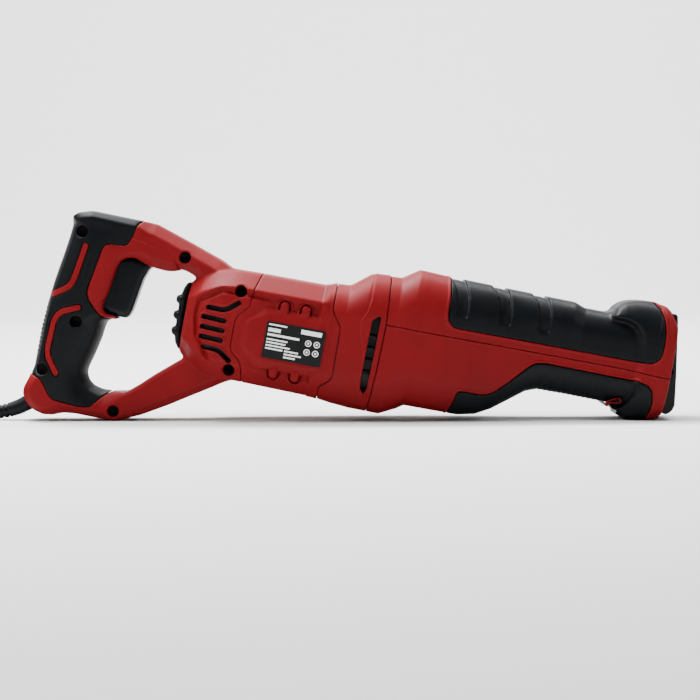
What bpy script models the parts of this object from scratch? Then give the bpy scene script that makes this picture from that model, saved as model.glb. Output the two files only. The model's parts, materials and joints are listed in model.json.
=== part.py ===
"""A corded reciprocating saw with a D handle, standing on its handle and its nose.

Everything is written in millimetres in the tool frame: +X runs along the blade's stroke to the
nose, +Z is up through the handle, and the origin is beside the motor shaft, below the crank
gear's axis. The empty "saw" then tilts the tool nose-down until it stands on the floor, z = 0.
"""

import math

import bmesh
import bpy
from mathutils import Matrix, Vector

MM = 0.001
GAP = 0.3  # between pieces that meet
HANDLE_FOOT = (-203.0, -87.5)  # the two edges, as (x, z), that the saw stands on
NOSE_FOOT = (178.0, -15.2)
FAR = 120.0  # past the object on every side

# Drive train
MOTOR_Z = -2.0  # motor shaft
STROKE_Z = 25.0  # plunger rod
CRANK_RADIUS = 14.0  # half of the 28 mm stroke
PINION_TEETH = 8
GEAR_TEETH = 40
PINION_RADIUS = 5.5  # pitch radius
GEAR_RADIUS = PINION_RADIUS * GEAR_TEETH / PINION_TEETH
TOOTH_HEIGHT = 2.9
MESH_Z = MOTOR_Z + PINION_RADIUS  # where the two pitch lines meet
TOOTH_ROOT = 1.7  # how far the teeth reach inside the pitch line
PIN_RADIUS = 4.0
GEAR_TOP = MESH_Z + 7.5
SPINDLE_RADIUS = 6.0
SPINDLE_HEAD = 8.5
ROD_RADIUS = 9.0
ROD_END = 132.0
SHAFT_RADIUS = 4.0

# Motor, as (rear x, front x) and radius
SHAFT_SPAN = (-160.0, -31.5)
PINION_SPAN = (-30.0, -24.3)
CORE_SPAN = (-110.0, -70.0)
CORE_RADIUS = 18.4
STATOR_SPAN = (-112.0, -68.0)
STATOR_RADIUS = 31.0
STATOR_BORE = 19.6
COMMUTATOR_SPAN = (-145.0, -127.0)
COMMUTATOR_RADIUS = 11.0
BRUSH_SPAN = (-140.0, -131.0)
BRUSH_REACH = (11.6, 27.0)  # from the motor shaft outwards
BRUSH_RISE = 3.2  # half of its height
BEARINGS = (("rear_bearing", (-156.0, -149.0), 11.0), ("front_bearing", (-43.6, -36.6), 12.6))
FAN_PLATE_SPAN = (-62.0, -60.0)
FAN_HUB_SPAN = (-61.0, -50.0)
FAN_RADIUS = 30.0
FAN_HUB = 8.0
FAN_BLADES = 12
BLADE_LOW = (-60.5, -0.7, 7.0)  # the topmost blade, as two corners
BLADE_HIGH = (-51.0, 0.7, 29.0)

# Gearbox frame
FLOOR_TOP = -10.4
FLOOR_UNDER = -22.0
WALL_UNDER = -21.0
FRAME_REAR = -46.0
FRAME_FRONT = 48.0
FRAME_HALF = 29.0  # half width beside the gear
NECK_HALF = 22.0  # half width ahead of the gear
BARREL_RADIUS = 18.0
BARREL_FRONT = 122.0
BUSH_RADIUS = 13.3
BUSH_LENGTH = 18.0
BUSH_REARS = (("rear", 49.0), ("front", 102.0))

# Blade clamp
CLAMP_RADIUS = 8.6
CLAMP_FRONT = 153.0
COLLAR_SPAN = (134.0, 148.0)
COLLAR_RADIUS = 13.0

# Handle
WALL = 3.0
SKIN = 1.8  # soft overmould on the grip
BOOT_SKIN = 2.4  # soft boot on the front covers
BUTTON_RADIUS = 4.4
BUTTON_PLACE = (-228.4, 14.0)
BUTTON_INNER = 12.5  # y of its inner and outer faces
BUTTON_OUTER = 20.0
FLANGE_THICK = 1.4
TRIGGER_GAP = ((-242.0, -11.0, -10.2), (-212.0, 11.0, 32.6))  # its opening, as two corners
GRIP_GAP = ((-242.0, -11.3, -10.5), (-212.0, 11.3, 32.9))
TRIGGER_PIVOT = (-214.0, 0.0, 11.0)
GUARD_HOLE = 5.9

# Shoe
SHOE_PIVOT = (183.0, 27.0)
SHOE_HALF_WIDTH = 17.5
SHOE_PLATE = 2.2
PIN_HOLE = 2.8
SHOE_PIN_RADIUS = 2.5
SHOE_PIN_SPAN = (11.2, 17.2)
EAR_SPAN = (12.0, 14.4)
ARM_SPAN = (14.9, 17.4)  # the bracket's arms, outside the shoe's ears
BRACKET_X = (156.0, 159.0, 187.0)  # the cross wall's rear and front, then the arms' ends
ARM_Z = (19.5, 34.5)
TONGUE_Z = (2.8, 5.6)
LEVER_PIVOT = (154.5, -4.6)
CHEEK_SPAN = (13.2, 16.2)
LEVER_BAR_TOP = -7.6
LEVER_BAR_FRONT = 149.3
POCKET_REAR = 144.5
POCKET_UNDER = -25.0
POCKET_HALF = 13.0
SEAM_Z = 18.4  # where the upper and lower front covers meet

# Mains lead
CORD_RADIUS = 3.5
COIL_CENTRE = (-332.0, 38.7)
COIL_INNER = 29.5
COIL_OUTER = 52.5
COIL_HEIGHT = 22.5
PLUG_CENTRE = (-324.0, 66.0)
PLUG_SIZE = (46.0, 50.0, 18.0)
PLUG_SLANT = 9.0  # how much its corners are cut off
# The plug's pins, as (name, x and y from its middle, half sizes along x and y, length)
PLUG_PINS = (
    ("earth", 11.0, 0.0, 2.0, 4.0, 22.7),
    ("live", -11.1, 11.1, 3.15, 2.0, 17.7),
    ("neutral", -11.1, -11.1, 3.15, 2.0, 17.7),
)

COLOURS = {
    "red_plastic": ((0.42, 0.035, 0.035), 0.42, 0.0),
    "black_rubber": ((0.022, 0.024, 0.027), 0.62, 0.0),
    "black_plastic": ((0.015, 0.016, 0.018), 0.4, 0.0),
    "black_steel": ((0.03, 0.03, 0.032), 0.45, 0.8),
    "steel": ((0.55, 0.55, 0.56), 0.32, 1.0),
    "laminations": ((0.24, 0.23, 0.23), 0.5, 0.9),
    "copper": ((0.72, 0.36, 0.18), 0.35, 1.0),
    "bronze": ((0.6, 0.42, 0.2), 0.4, 1.0),
    "brass": ((0.75, 0.6, 0.28), 0.3, 1.0),
    "aluminium": ((0.62, 0.63, 0.64), 0.48, 1.0),
    "carbon": ((0.06, 0.06, 0.06), 0.7, 0.0),
    "label": ((0.03, 0.03, 0.032), 0.5, 0.0),
}

# The housings' outside, as (x, top, bottom, half width) with rounded-box sections between.
BODY = [
    (-164.0, 21.0, -27.0, 23.0),
    (-160.0, 26.5, -32.0, 29.0),
    (-150.0, 32.0, -38.5, 34.0),
    (-138.0, 36.5, -41.0, 36.5),
    (-126.0, 37.5, -41.5, 37.0),
    (-66.0, 37.8, -42.8, 37.0),
    (-60.0, 40.3, -43.8, 37.3),
    (-50.0, 41.0, -45.2, 37.6),
    (-36.0, 52.0, -46.3, 38.0),
    (-14.0, 53.2, -46.5, 38.0),
    (-2.0, 61.3, -40.5, 38.0),
    (3.0, 61.3, -37.0, 38.0),
    (20.0, 60.4, -37.0, 37.0),
    (42.0, 60.0, -36.7, 34.0),
    (55.0, 59.8, -34.0, 31.5),
    (66.0, 59.6, -28.0, 30.0),
    (88.0, 59.3, -11.0, 28.5),
    (96.0, 59.1, -8.0, 28.0),
    (112.0, 59.0, -7.8, 28.0),
    (120.0, 56.0, -7.8, 26.5),
    (141.0, 56.0, -8.0, 26.5),
    (147.0, 65.5, -8.6, 26.6),
    (155.0, 68.6, -15.0, 27.2),
    (163.0, 69.4, -17.6, 29.0),
    (171.0, 69.3, -16.5, 30.0),
    (178.0, 67.3, -15.2, 30.0),
    (184.0, 62.6, -13.6, 29.0),
    (186.5, 57.5, -12.2, 27.6),
]
# The housings' hollow, written the same way.
HOLLOW = [
    (-161.0, 16.0, -22.0, 19.0),
    (-150.0, 28.5, -35.0, 30.5),
    (-138.0, 33.3, -37.8, 33.3),
    (-66.0, 34.4, -39.4, 33.8),
    (-50.0, 37.5, -41.8, 34.3),
    (-36.0, 47.5, -42.8, 34.6),
    (-14.0, 49.2, -42.8, 34.6),
    (3.0, 56.5, -33.4, 34.6),
    (42.0, 55.8, -32.6, 30.4),
    (58.0, 55.2, -26.0, 26.5),
    (84.0, 53.0, -3.0, 23.0),
    (96.0, 51.6, -1.6, 22.0),
    (160.0, 51.6, -1.6, 22.0),
]
MOUTH = ((157.2, -19.4, -10.7), (200.0, 19.4, 60.4))  # the open nose, as two corners

SHOE_NOTCH = ((182.0, -18.6, 50.0), (200.5, 18.6, 75.0))

# The D handle, as (outer point, inner point, half thickness, chamfer) down the loop from the
# top of the motor to the grip and back along the lower bar.
HANDLE = [
    ((-126.0, 31.0), (-146.0, 12.0), 23.0, 6.0),
    ((-138.0, 37.6), (-158.0, 22.0), 21.5, 6.0),
    ((-146.0, 41.5), (-163.5, 26.5), 19.5, 6.0),
    ((-158.0, 46.2), (-168.5, 29.6), 18.0, 6.0),
    ((-172.0, 50.9), (-176.0, 30.0), 17.0, 6.0),
    ((-186.0, 55.5), (-184.0, 28.2), 17.0, 6.0),
    ((-197.0, 58.8), (-192.0, 28.0), 17.0, 5.5),
    ((-209.0, 59.2), (-203.0, 31.0), 17.0, 4.5),
    ((-224.0, 59.7), (-209.0, 33.0), 17.2, 4.5),
    ((-244.0, 60.0), (-215.0, 31.0), 17.4, 4.5),
    ((-256.0, 56.0), (-218.5, 26.0), 17.5, 5.0),
    ((-257.5, 50.0), (-219.5, 20.0), 17.5, 6.0),
    ((-259.5, 30.0), (-220.7, 10.0), 17.5, 7.0),
    ((-264.0, 3.0), (-222.5, -3.0), 17.5, 7.5),
    ((-265.5, -10.0), (-222.0, -9.5), 17.5, 7.5),
    ((-266.3, -18.0), (-219.5, -14.5), 17.5, 7.5),
    ((-267.0, -33.0), (-222.0, -32.0), 17.5, 8.0),
    ((-267.0, -46.0), (-226.0, -47.0), 17.5, 8.0),
    ((-266.7, -58.0), (-227.5, -55.0), 17.5, 7.0),
    ((-268.0, -68.0), (-227.0, -59.0), 17.8, 5.0),
    ((-270.0, -78.0), (-224.5, -62.5), 18.0, 4.0),
    ((-264.0, -88.0), (-221.0, -64.8), 18.0, 4.0),
    ((-257.0, -92.0), (-218.5, -65.5), 18.0, 4.0),
    ((-247.0, -90.2), (-215.5, -66.0), 18.0, 4.0),
    ((-240.0, -88.4), (-213.0, -66.3), 17.8, 4.5),
    ((-222.0, -87.4), (-208.0, -66.6), 17.2, 4.5),
    ((-203.0, -87.5), (-198.0, -65.3), 16.5, 4.5),
    ((-188.0, -82.0), (-186.0, -55.5), 16.5, 4.5),
    ((-165.0, -68.8), (-170.0, -41.6), 18.0, 5.0),
    ((-140.0, -53.0), (-160.0, -33.0), 20.0, 5.0),
    ((-124.0, -42.5), (-150.0, -25.0), 22.0, 5.0),
    ((-112.0, -34.0), (-140.0, -15.0), 23.0, 5.0),
]
# Where the soft grip covers the handle.
GRIP_REGION = [
    (-290.0, 80.0),
    (-209.0, 80.0),
    (-209.5, 56.0),
    (-211.5, 46.0),
    (-214.0, 40.0),
    (-226.0, 39.0),
    (-230.5, 36.0),
    (-235.0, 18.0),
    (-237.2, 2.0),
    (-235.0, -3.5),
    (-229.5, -10.5),
    (-224.0, -14.2),
    (-212.0, -15.4),
    (-206.0, -25.0),
    (-206.0, -66.0),
    (-210.5, -67.5),
    (-214.5, -71.5),
    (-219.5, -79.5),
    (-222.0, -80.5),
    (-240.0, -80.5),
    (-247.5, -79.6),
    (-251.5, -77.0),
    (-257.5, -67.5),
    (-262.0, -65.2),
    (-290.0, -63.5),
]
# Where the soft boot covers the upper and the lower front cover.
BOOT_UPPER_REGION = [
    (20.2, 90.0),
    (20.8, 45.0),
    (21.4, 33.0),
    (23.6, 28.4),
    (28.5, 25.6),
    (166.0, 25.2),
    (174.0, 27.0),
    (177.6, 31.0),
    (178.4, 38.0),
    (178.2, 48.0),
    (176.0, 58.0),
    (172.4, 64.5),
    (166.0, 69.0),
    (160.0, 90.0),
]
BOOT_LOWER_REGION = [
    (32.8, -60.0),
    (34.6, -36.0),
    (37.8, -19.6),
    (40.0, -18.5),
    (55.0, -19.0),
    (62.0, -16.8),
    (70.0, -10.0),
    (80.0, 1.0),
    (86.5, 8.4),
    (91.0, 10.8),
    (100.0, 11.5),
    (166.0, 11.2),
    (173.5, 9.0),
    (176.8, 4.0),
    (178.0, -5.0),
    (176.5, -11.0),
    (173.0, -20.0),
    (173.0, -60.0),
]
# The zigzag joints between the housings, top to bottom.
SEAM_REAR = [
    (-113.0, FAR),
    (-114.0, 37.5),
    (-117.0, 27.0),
    (-118.5, 13.5),
    (-126.0, 5.0),
    (-127.0, 2.0),
    (-127.0, -17.0),
    (-125.5, -20.5),
    (-118.5, -26.5),
    (-117.0, -31.0),
    (-115.0, -42.0),
    (-113.0, -FAR),
]
SEAM_MIDDLE = [
    (-59.6, FAR),
    (-59.6, 21.5),
    (-52.0, 11.0),
    (-51.4, -24.5),
    (-53.0, -28.0),
    (-59.8, -34.0),
    (-60.5, -FAR),
]
SEAM_FRONT = [
    (-22.8, FAR),
    (-22.3, 52.0),
    (-20.6, 18.0),
    (-21.4, -15.0),
    (-23.0, -45.0),
    (-23.4, -FAR),
]
SIDE_PANEL = [
    (-106.0, 15.3),
    (-120.0, 6.2),
    (-122.3, 2.6),
    (-122.0, -16.0),
    (-119.0, -20.8),
    (-105.0, -28.0),
    (-67.0, -28.0),
    (-60.5, -24.5),
    (-58.6, -21.0),
    (-58.2, 7.5),
    (-60.6, 10.8),
    (-68.0, 15.3),
]
PANEL_FACE = 38.0  # how far the label panel stands from the middle
LABEL = ((-104.0, -20.0), (-61.6, 6.0), 0.5)
VENT_WIDTH = 3.6
VENTS = [
    [(-147.5, 8.2), (-135.0, 7.8), (-126.5, 14.4)],
    [(-149.5, 0.6), (-134.8, 0.2)],
    [(-149.5, -6.5), (-134.8, -6.9)],
    [(-149.0, -13.5), (-134.8, -13.9)],
    [(-146.0, -20.5), (-135.0, -20.9), (-125.8, -27.6)],
]
OUTLET = [(-30.6, 20.0), (-25.0, 24.0), (-25.6, -28.5), (-28.0, -33.0), (-31.0, -28.5)]
# Screw places as (x, z, y of the housing's face there)
SCREWS = [
    (-248.0, 44.0, 17.4),
    (-241.0, -21.0, 17.5),
    (-259.0, -59.5, 17.0),
    (-203.0, -80.0, 16.5),
    (-171.5, 39.0, 17.0),
    (-126.5, 23.0, 36.0),
    (-125.5, -34.0, 35.0),
]
SCREW_BORE = 4.2
SCREW_HEAD = 3.7
SCREW_SHANK = 1.7
BOSS = 6.4
TRIGGER = [
    (-228.0, -4.5),
    (-221.0, -8.4),
    (-211.0, -9.8),
    (-204.0, -9.2),
    (-201.0, -6.5),
    (-200.0, 5.0),
    (-199.0, 16.0),
    (-197.6, 26.0),
    (-203.0, 29.2),
    (-209.0, 31.2),
    (-228.0, 28.5),
]
TRIGGER_HALF = 10.0
BUMPER = [
    (-164.3, 22.0),
    (-167.5, 20.5),
    (-169.6, 15.0),
    (-170.2, 12.0),
    (-172.4, 11.0),
    (-172.6, 7.0),
    (-170.6, 5.5),
    (-170.4, 1.0),
    (-172.6, 0.0),
    (-172.6, -4.5),
    (-170.4, -6.0),
    (-170.0, -11.0),
    (-172.0, -12.0),
    (-171.6, -16.5),
    (-169.6, -18.0),
    (-168.2, -23.0),
    (-165.0, -27.0),
    (-164.3, -27.0),
]
BUMPER_HALF = 18.0


def clear_scene():
    for thing in list(bpy.data.objects):
        bpy.data.objects.remove(thing)


def material(name):
    found = bpy.data.materials.get(name)
    if found:
        return found
    colour, roughness, metallic = COLOURS[name]
    made = bpy.data.materials.new(name)
    made.use_nodes = True
    made.diffuse_color = (*colour, 1.0)
    shader = made.node_tree.nodes["Principled BSDF"]
    shader.inputs["Base Color"].default_value = (*colour, 1.0)
    shader.inputs["Roughness"].default_value = roughness
    shader.inputs["Metallic"].default_value = metallic
    return made


def new_object(name, bm):
    """Makes an object of a bmesh written in millimetres."""
    bmesh.ops.recalc_face_normals(bm, faces=bm.faces)
    bmesh.ops.scale(bm, vec=(MM, MM, MM), verts=bm.verts)
    mesh = bpy.data.meshes.new(name)
    bm.to_mesh(mesh)
    bm.free()
    made = bpy.data.objects.new(name, mesh)
    bpy.context.scene.collection.objects.link(made)
    return made


def loft(name, rings):
    """Skins rings that all have the same number of points, and caps the two ends."""
    bm = bmesh.new()
    loops = [[bm.verts.new(point) for point in ring] for ring in rings]
    count = len(rings[0])
    for first, second in zip(loops, loops[1:]):
        for k in range(count):
            after = (k + 1) % count
            bm.faces.new((first[k], first[after], second[after], second[k]))
    bm.faces.new(reversed(loops[0]))
    bm.faces.new(loops[-1])
    return new_object(name, bm)


def prism(name, outline, low, high):
    """Extrudes an outline of (x, z) points along Y, from low to high."""
    rings = [[(x, y, z) for x, z in outline] for y in (low, high)]
    return loft(name, rings)


def box(name, low, high):
    (x0, y0, z0), (x1, y1, z1) = low, high
    return prism(name, [(x0, z0), (x1, z0), (x1, z1), (x0, z1)], y0, y1)


def cone(name, start, end, radii, sides=16):
    """A cone or cylinder between two points, with a radius at each."""
    start, end = Vector(start), Vector(end)
    turn = (end - start).to_track_quat("Z", "Y")
    rings = []
    for centre, radius in zip((start, end), radii):
        angles = [2 * math.pi * (k + 0.5) / sides for k in range(sides)]
        rings.append(
            [centre + turn @ Vector((radius * math.cos(a), radius * math.sin(a), 0)) for a in angles]
        )
    return loft(name, rings)


def cylinder(name, start, end, radius, sides=16):
    return cone(name, start, end, (radius, radius), sides)


def combine(target, others, operation):
    """Applies a Boolean of each other object to the target, and removes the others."""
    for other in others:
        modifier = target.modifiers.new(operation, "BOOLEAN")
        modifier.operation = operation
        modifier.object = other
        bpy.context.view_layer.update()
        graph = bpy.context.evaluated_depsgraph_get()
        mesh = bpy.data.meshes.new_from_object(target.evaluated_get(graph))
        target.modifiers.clear()
        target.data = mesh
        bpy.data.objects.remove(other)
    return target


def cut(target, *others):
    return combine(target, others, "DIFFERENCE")


def join(target, *others):
    return combine(target, others, "UNION")


def keep(target, *others):
    return combine(target, others, "INTERSECT")


def copy_of(source, name):
    made = bpy.data.objects.new(name, source.data.copy())
    bpy.context.scene.collection.objects.link(made)
    return made


def finish(thing, slot, saw, pivot=(0.0, 0.0, 0.0), smooth=30.0):
    """Puts the origin on the pivot, and gives the piece its material, shading and parent."""
    pivot = Vector(pivot) * MM
    thing.data.transform(Matrix.Translation(-pivot))
    thing.location = pivot
    thing.parent = saw
    thing.data.materials.clear()
    thing.data.materials.append(material(slot))
    thing.data.shade_smooth()
    thing.data.set_sharp_from_angle(angle=math.radians(smooth))
    return thing


def body_ring(x, top, bottom, half, grow=0.0, points=24, power=3.2, clip=1.035):
    """A rounded-box section of the housings, with flat sides where the curve is clipped."""
    middle, rise = (top + bottom) / 2, (top - bottom) / 2 + grow
    half = half + grow
    ring = []
    for k in range(points):
        angle = 2 * math.pi * (k + 0.5) / points
        across, up = math.cos(angle), math.sin(angle)
        y = math.copysign(min(1.0, clip * abs(across) ** (2 / power)), across) * half
        z = math.copysign(min(1.0, clip * abs(up) ** (2 / power)), up) * rise
        ring.append((x, y, middle + z))
    return ring


def body_loft(name, stations, grow=0.0):
    return loft(name, [body_ring(*station, grow=grow) for station in stations])


def handle_loft(name, inset=0.0):
    """The D handle's loop as an eight-sided bar, made smaller all round by inset."""
    rings = []
    for outer, inner, half, chamfer in HANDLE:
        outer, inner = Vector(outer), Vector(inner)
        along = (outer - inner).normalized()
        length = (outer - inner).length
        wide = half - inset
        near, far = inset, length - inset
        slope = chamfer * 0.9
        profile = [
            (near, slope - wide),
            (near + slope, -wide),
            (far - chamfer, -wide),
            (far, chamfer - wide),
            (far, wide - chamfer),
            (far - chamfer, wide),
            (near + slope, wide),
            (near, wide - slope),
        ]
        ring = []
        for reach, y in profile:
            spot = inner + along * reach
            ring.append((spot.x, y, spot.y))
        rings.append(ring)
    return loft(name, rings)


def shifted(outline, dx):
    return [(x + dx, z) for x, z in outline]


def behind(name, seam, gap=0.0):
    """Everything behind a zigzag seam, which runs top to bottom."""
    line = shifted(seam, -gap)
    return prism(name, line + [(-400.0, -FAR), (-400.0, FAR)], -FAR, FAR)


def ahead(name, seam, gap=0.0):
    """Everything ahead of a zigzag seam."""
    line = shifted(seam, gap)
    return prism(name, line + [(400.0, -FAR), (400.0, FAR)], -FAR, FAR)


def slot_outline(points, width):
    """The outline of a groove of that width along a line of two or three points."""
    left, right = [], []
    line = [Vector(p) for p in points]
    for k, spot in enumerate(line):
        before = (spot - line[k - 1]).normalized() if k else None
        after = (line[k + 1] - spot).normalized() if k + 1 < len(line) else None
        way = ((before or after) + (after or before)).normalized()
        side = Vector((-way.y, way.x)) * width / 2
        end = Vector((0.0, 0.0))
        if before is None:
            end = -way * width / 3
        if after is None:
            end = way * width / 3
        left.append(tuple(spot + side + end))
        right.append(tuple(spot - side + end))
    return left + right[::-1]


def make_handle(saw):
    """The two handle shells with the rear of the body, and the soft grips on them."""
    outer = join(handle_loft("outer"), keep(body_loft("rear", BODY), behind("b", SEAM_REAR, GAP / 2)))
    hollow = join(handle_loft("hollow", WALL), body_loft("rear_hollow", HOLLOW))
    posts = []
    for x, z, face in SCREWS:
        post = cylinder("post", (x, 2.2 - face, z), (x, face - 2.2, z), BOSS, 12)
        posts.append(keep(post, copy_of(outer, "limit")))
    whole = join(cut(outer, hollow), *posts)
    cut(whole, box("trigger_gap", *TRIGGER_GAP))
    cut(whole, cylinder("bearing_gap", (-180.0, 0.0, MOTOR_Z), (-150.0, 0.0, MOTOR_Z), 12.0))
    cut(whole, cylinder("cord_gap", (-262.0, 0.0, -81.0), (-285.0, 0.0, -94.0), GUARD_HOLE))
    for vent in VENTS:
        cut(whole, prism("vent", slot_outline(vent, VENT_WIDTH), -FAR, FAR))
    skin_block = prism("skin_block", GRIP_REGION, -FAR, FAR)
    skin = cut(keep(handle_loft("skin"), copy_of(skin_block, "k")), handle_loft("under", SKIN))
    cut(skin, box("trigger_gap", *GRIP_GAP))
    cut(whole, cut(skin_block, handle_loft("below_skin", SKIN + GAP)))
    for name, side in (("right", -1), ("left", 1)):
        half = box("half", (-400.0, 0.0, -FAR), (0.0, FAR, FAR))
        half.data.transform(Matrix.Translation((0, GAP / 2 * MM, 0)))
        if side < 0:
            half.data.transform(Matrix.Diagonal((1, -1, 1, 1)))
            half.data.flip_normals()
        shell = keep(copy_of(whole, f"handle_shell_{name}"), copy_of(half, "h"))
        grip = keep(copy_of(skin, f"grip_overmould_{name}"), half)
        drill_screws(shell, grip, side)
        if side > 0:
            x, z = BUTTON_PLACE
            cut(shell, cylinder("hole", (x, 0.0, z), (x, 30.0, z), BUTTON_RADIUS + GAP))
            pocket_radius = BUTTON_RADIUS + FLANGE_THICK + 0.4
            cut(shell, cylinder("pocket", (x, 5.0, z), (x, 14.3, z), pocket_radius))
        finish(shell, "red_plastic", saw)
        finish(grip, "black_rubber", saw)
    bpy.data.objects.remove(whole)
    bpy.data.objects.remove(skin)


def drill_screws(shell, grip, side):
    for x, z, face in SCREWS:
        cut(shell, cylinder("hole", (x, -1.0 * side, z), (x, side * (face - 5.0), z), 2.0, 12))
        if side < 0:
            cut(shell, cylinder("bore", (x, -7.0, z), (x, -40.0, z), SCREW_BORE, 12))
            if z > -70.0 and x < -240.0:
                cut(grip, cylinder("bore", (x, -7.0, z), (x, -40.0, z), SCREW_BORE, 12))


def make_screws(saw):
    for number, (x, z, face) in enumerate(SCREWS, 1):
        tip = min(12.0, face - 5.5)
        screw = cylinder(f"handle_screw_{number}", (x, -7.3, z), (x, -9.9, z), SCREW_HEAD, 12)
        join(screw, cylinder("shank", (x, -8.0, z), (x, tip, z), SCREW_SHANK, 8))
        for wide, high in ((2.4, 0.5), (0.5, 2.4)):
            cut(screw, box("slot", (x - wide, -12.0, z - high), (x + wide, -8.7, z + high)))
        finish(screw, "steel", saw)


def make_housings(saw):
    """The motor housing with its label panels, and the housing behind the gearbox."""
    whole = cut(body_loft("whole", BODY[3:10]), body_loft("hollow", HOLLOW))
    motor = keep(
        copy_of(whole, "motor_housing"),
        ahead("a", SEAM_REAR, GAP / 2),
        behind("b", SEAM_MIDDLE, GAP / 2),
    )
    for side in (-1, 1):
        near, far = sorted((side * 35.0, side * PANEL_FACE))
        join(motor, prism("panel", SIDE_PANEL, near, far))
    middle = keep(whole, ahead("a", SEAM_MIDDLE, GAP / 2), behind("b", SEAM_FRONT, GAP / 2))
    middle.name = "mid_housing"
    cut(middle, prism("outlet", OUTLET, -FAR, FAR))
    finish(motor, "red_plastic", saw)
    finish(middle, "red_plastic", saw)
    (x0, z0), (x1, z1), thick = LABEL
    back = -PANEL_FACE - GAP
    finish(box("rating_label", (x0, back - thick, z0), (x1, back, z1)), "label", saw)


def make_front(saw):
    """The upper and lower front covers, and the soft boot on each."""
    outer = body_loft("outer", BODY[8:])
    room = join(body_loft("hollow", HOLLOW), box("mouth", *MOUTH), box("notch", *SHOE_NOTCH))
    whole = cut(copy_of(outer, "whole"), room)
    keep(whole, ahead("a", SEAM_FRONT, GAP / 2))
    regions = (("upper", BOOT_UPPER_REGION, SEAM_Z, FAR), ("lower", BOOT_LOWER_REGION, -FAR, SEAM_Z))
    for name, region, low, high in regions:
        low, high = low + GAP / 2, high - GAP / 2
        half = box("half", (-100.0, -FAR, low), (FAR * 2, FAR, high))
        block = prism("block", region, -FAR, FAR)
        boot = cut(
            keep(copy_of(outer, f"boot_{name}"), copy_of(block, "k")),
            body_loft("under", BODY[8:], -BOOT_SKIN),
        )
        cover = keep(copy_of(whole, f"front_cover_{name}"), half)
        cut(cover, cut(block, body_loft("below", BODY[8:], -BOOT_SKIN - GAP)))
        if name == "lower":
            for piece in (cover, boot):
                cut(piece, *lever_pocket())
            low, high = (POCKET_REAR, -POCKET_HALF, POCKET_UNDER), (156.4, POCKET_HALF, -5.0)
            cut(boot, box("skin_gap", low, high))
        finish(cover, "red_plastic", saw)
        finish(boot, "black_rubber", saw)
    bpy.data.objects.remove(whole)
    bpy.data.objects.remove(outer)


def lever_pocket():
    """The room for the shoe lock lever in the underside of the nose."""
    rear, half, under = POCKET_REAR, POCKET_HALF, POCKET_UNDER
    pockets = [
        box("rest_room", (rear, -half, under), (150.5, half, LEVER_BAR_TOP + 0.6)),
        box("swing_room", (150.0, -half, under), (156.4, half, -9.9)),
    ]
    for side in (-1, 1):
        near, far = sorted((side * (CHEEK_SPAN[0] - 0.6), side * 40.0))
        pockets.append(box("cheek_room", (rear, near, under), (160.0, far, 0.0)))
    return pockets


def make_lever(saw):
    """The shoe lock lever: two teardrop cheeks joined by a bar under the nose."""
    x, z = LEVER_PIVOT
    cheek = [(146.0, -10.2), (146.2, -8.4), (x - 1.6, z + 3.6), (x + 1.4, z + 3.2), (x + 3.2, z + 0.6)]
    cheek += [(x + 2.8, z - 1.8), (x + 0.8, z - 3.0), (148.8, -10.6)]
    inner, outer = CHEEK_SPAN
    lever = prism("shoe_lock_lever", cheek, -outer, outer)
    cut(lever, box("between", (LEVER_BAR_FRONT, -inner, -20.0), (170.0, inner, 10.0)))
    cut(lever, box("above", (140.0, -inner, LEVER_BAR_TOP), (170.0, inner, 10.0)))
    finish(lever, "red_plastic", saw, (x, 0.0, z))


def make_bumper(saw):
    bumper = prism("rear_bumper", BUMPER, -BUMPER_HALF, BUMPER_HALF)
    cut(bumper, cylinder("bearing_gap", (-190.0, 0.0, MOTOR_Z), (-150.0, 0.0, MOTOR_Z), 3.0, 12))
    finish(bumper, "black_rubber", saw)


def gear_teeth(count, inner, outer, low, high, thin):
    """Radial teeth hanging under the crank gear, each a wedge between two radii."""
    pitch = 2 * math.pi / count
    teeth = []
    for k in range(count):
        middle = (k + 0.5) * pitch
        rings = []
        for radius in (inner, outer):
            wide, narrow = pitch * thin, pitch * thin * 0.45
            corners = ((-wide, high), (wide, high), (narrow, low), (-narrow, low))
            places = [(middle + turn / 2, z) for turn, z in corners]
            rings.append([(radius * math.cos(a), radius * math.sin(a), z) for a, z in places])
        teeth.append(loft("tooth", rings))
    return teeth


def make_drive(saw):
    """The crank gear with its pin, on its spindle."""
    under, top = MESH_Z + TOOTH_ROOT, GEAR_TOP
    axis = (0.0, 0.0, 0.0)
    gear = cylinder("drive_gear", (0, 0, under), (0, 0, top), GEAR_RADIUS + 3.4, 40)
    low = under - TOOTH_HEIGHT
    inner, outer = GEAR_RADIUS - 3.2, GEAR_RADIUS + 3.0
    join(gear, *gear_teeth(GEAR_TEETH, inner, outer, low, under + 0.5, 0.36))
    cut(gear, cylinder("bore", (0, 0, 0), (0, 0, 20), SPINDLE_RADIUS + GAP))
    finish(gear, "steel", saw, axis)
    pin_x = -CRANK_RADIUS
    pin_top = STROKE_Z - ROD_RADIUS - GAP
    pin = cylinder("crank_pin", (pin_x, 0, top + GAP), (pin_x, 0, pin_top), PIN_RADIUS, 12)
    finish(pin, "steel", saw, axis)
    spindle = cylinder("gear_spindle", (0, 0, FLOOR_TOP + 0.4), (0, 0, top + 1.0), SPINDLE_RADIUS)
    join(spindle, cylinder("head", (0, 0, top + 0.5), (0, 0, top + 2.5), SPINDLE_HEAD, 16))
    finish(spindle, "steel", saw)


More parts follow.
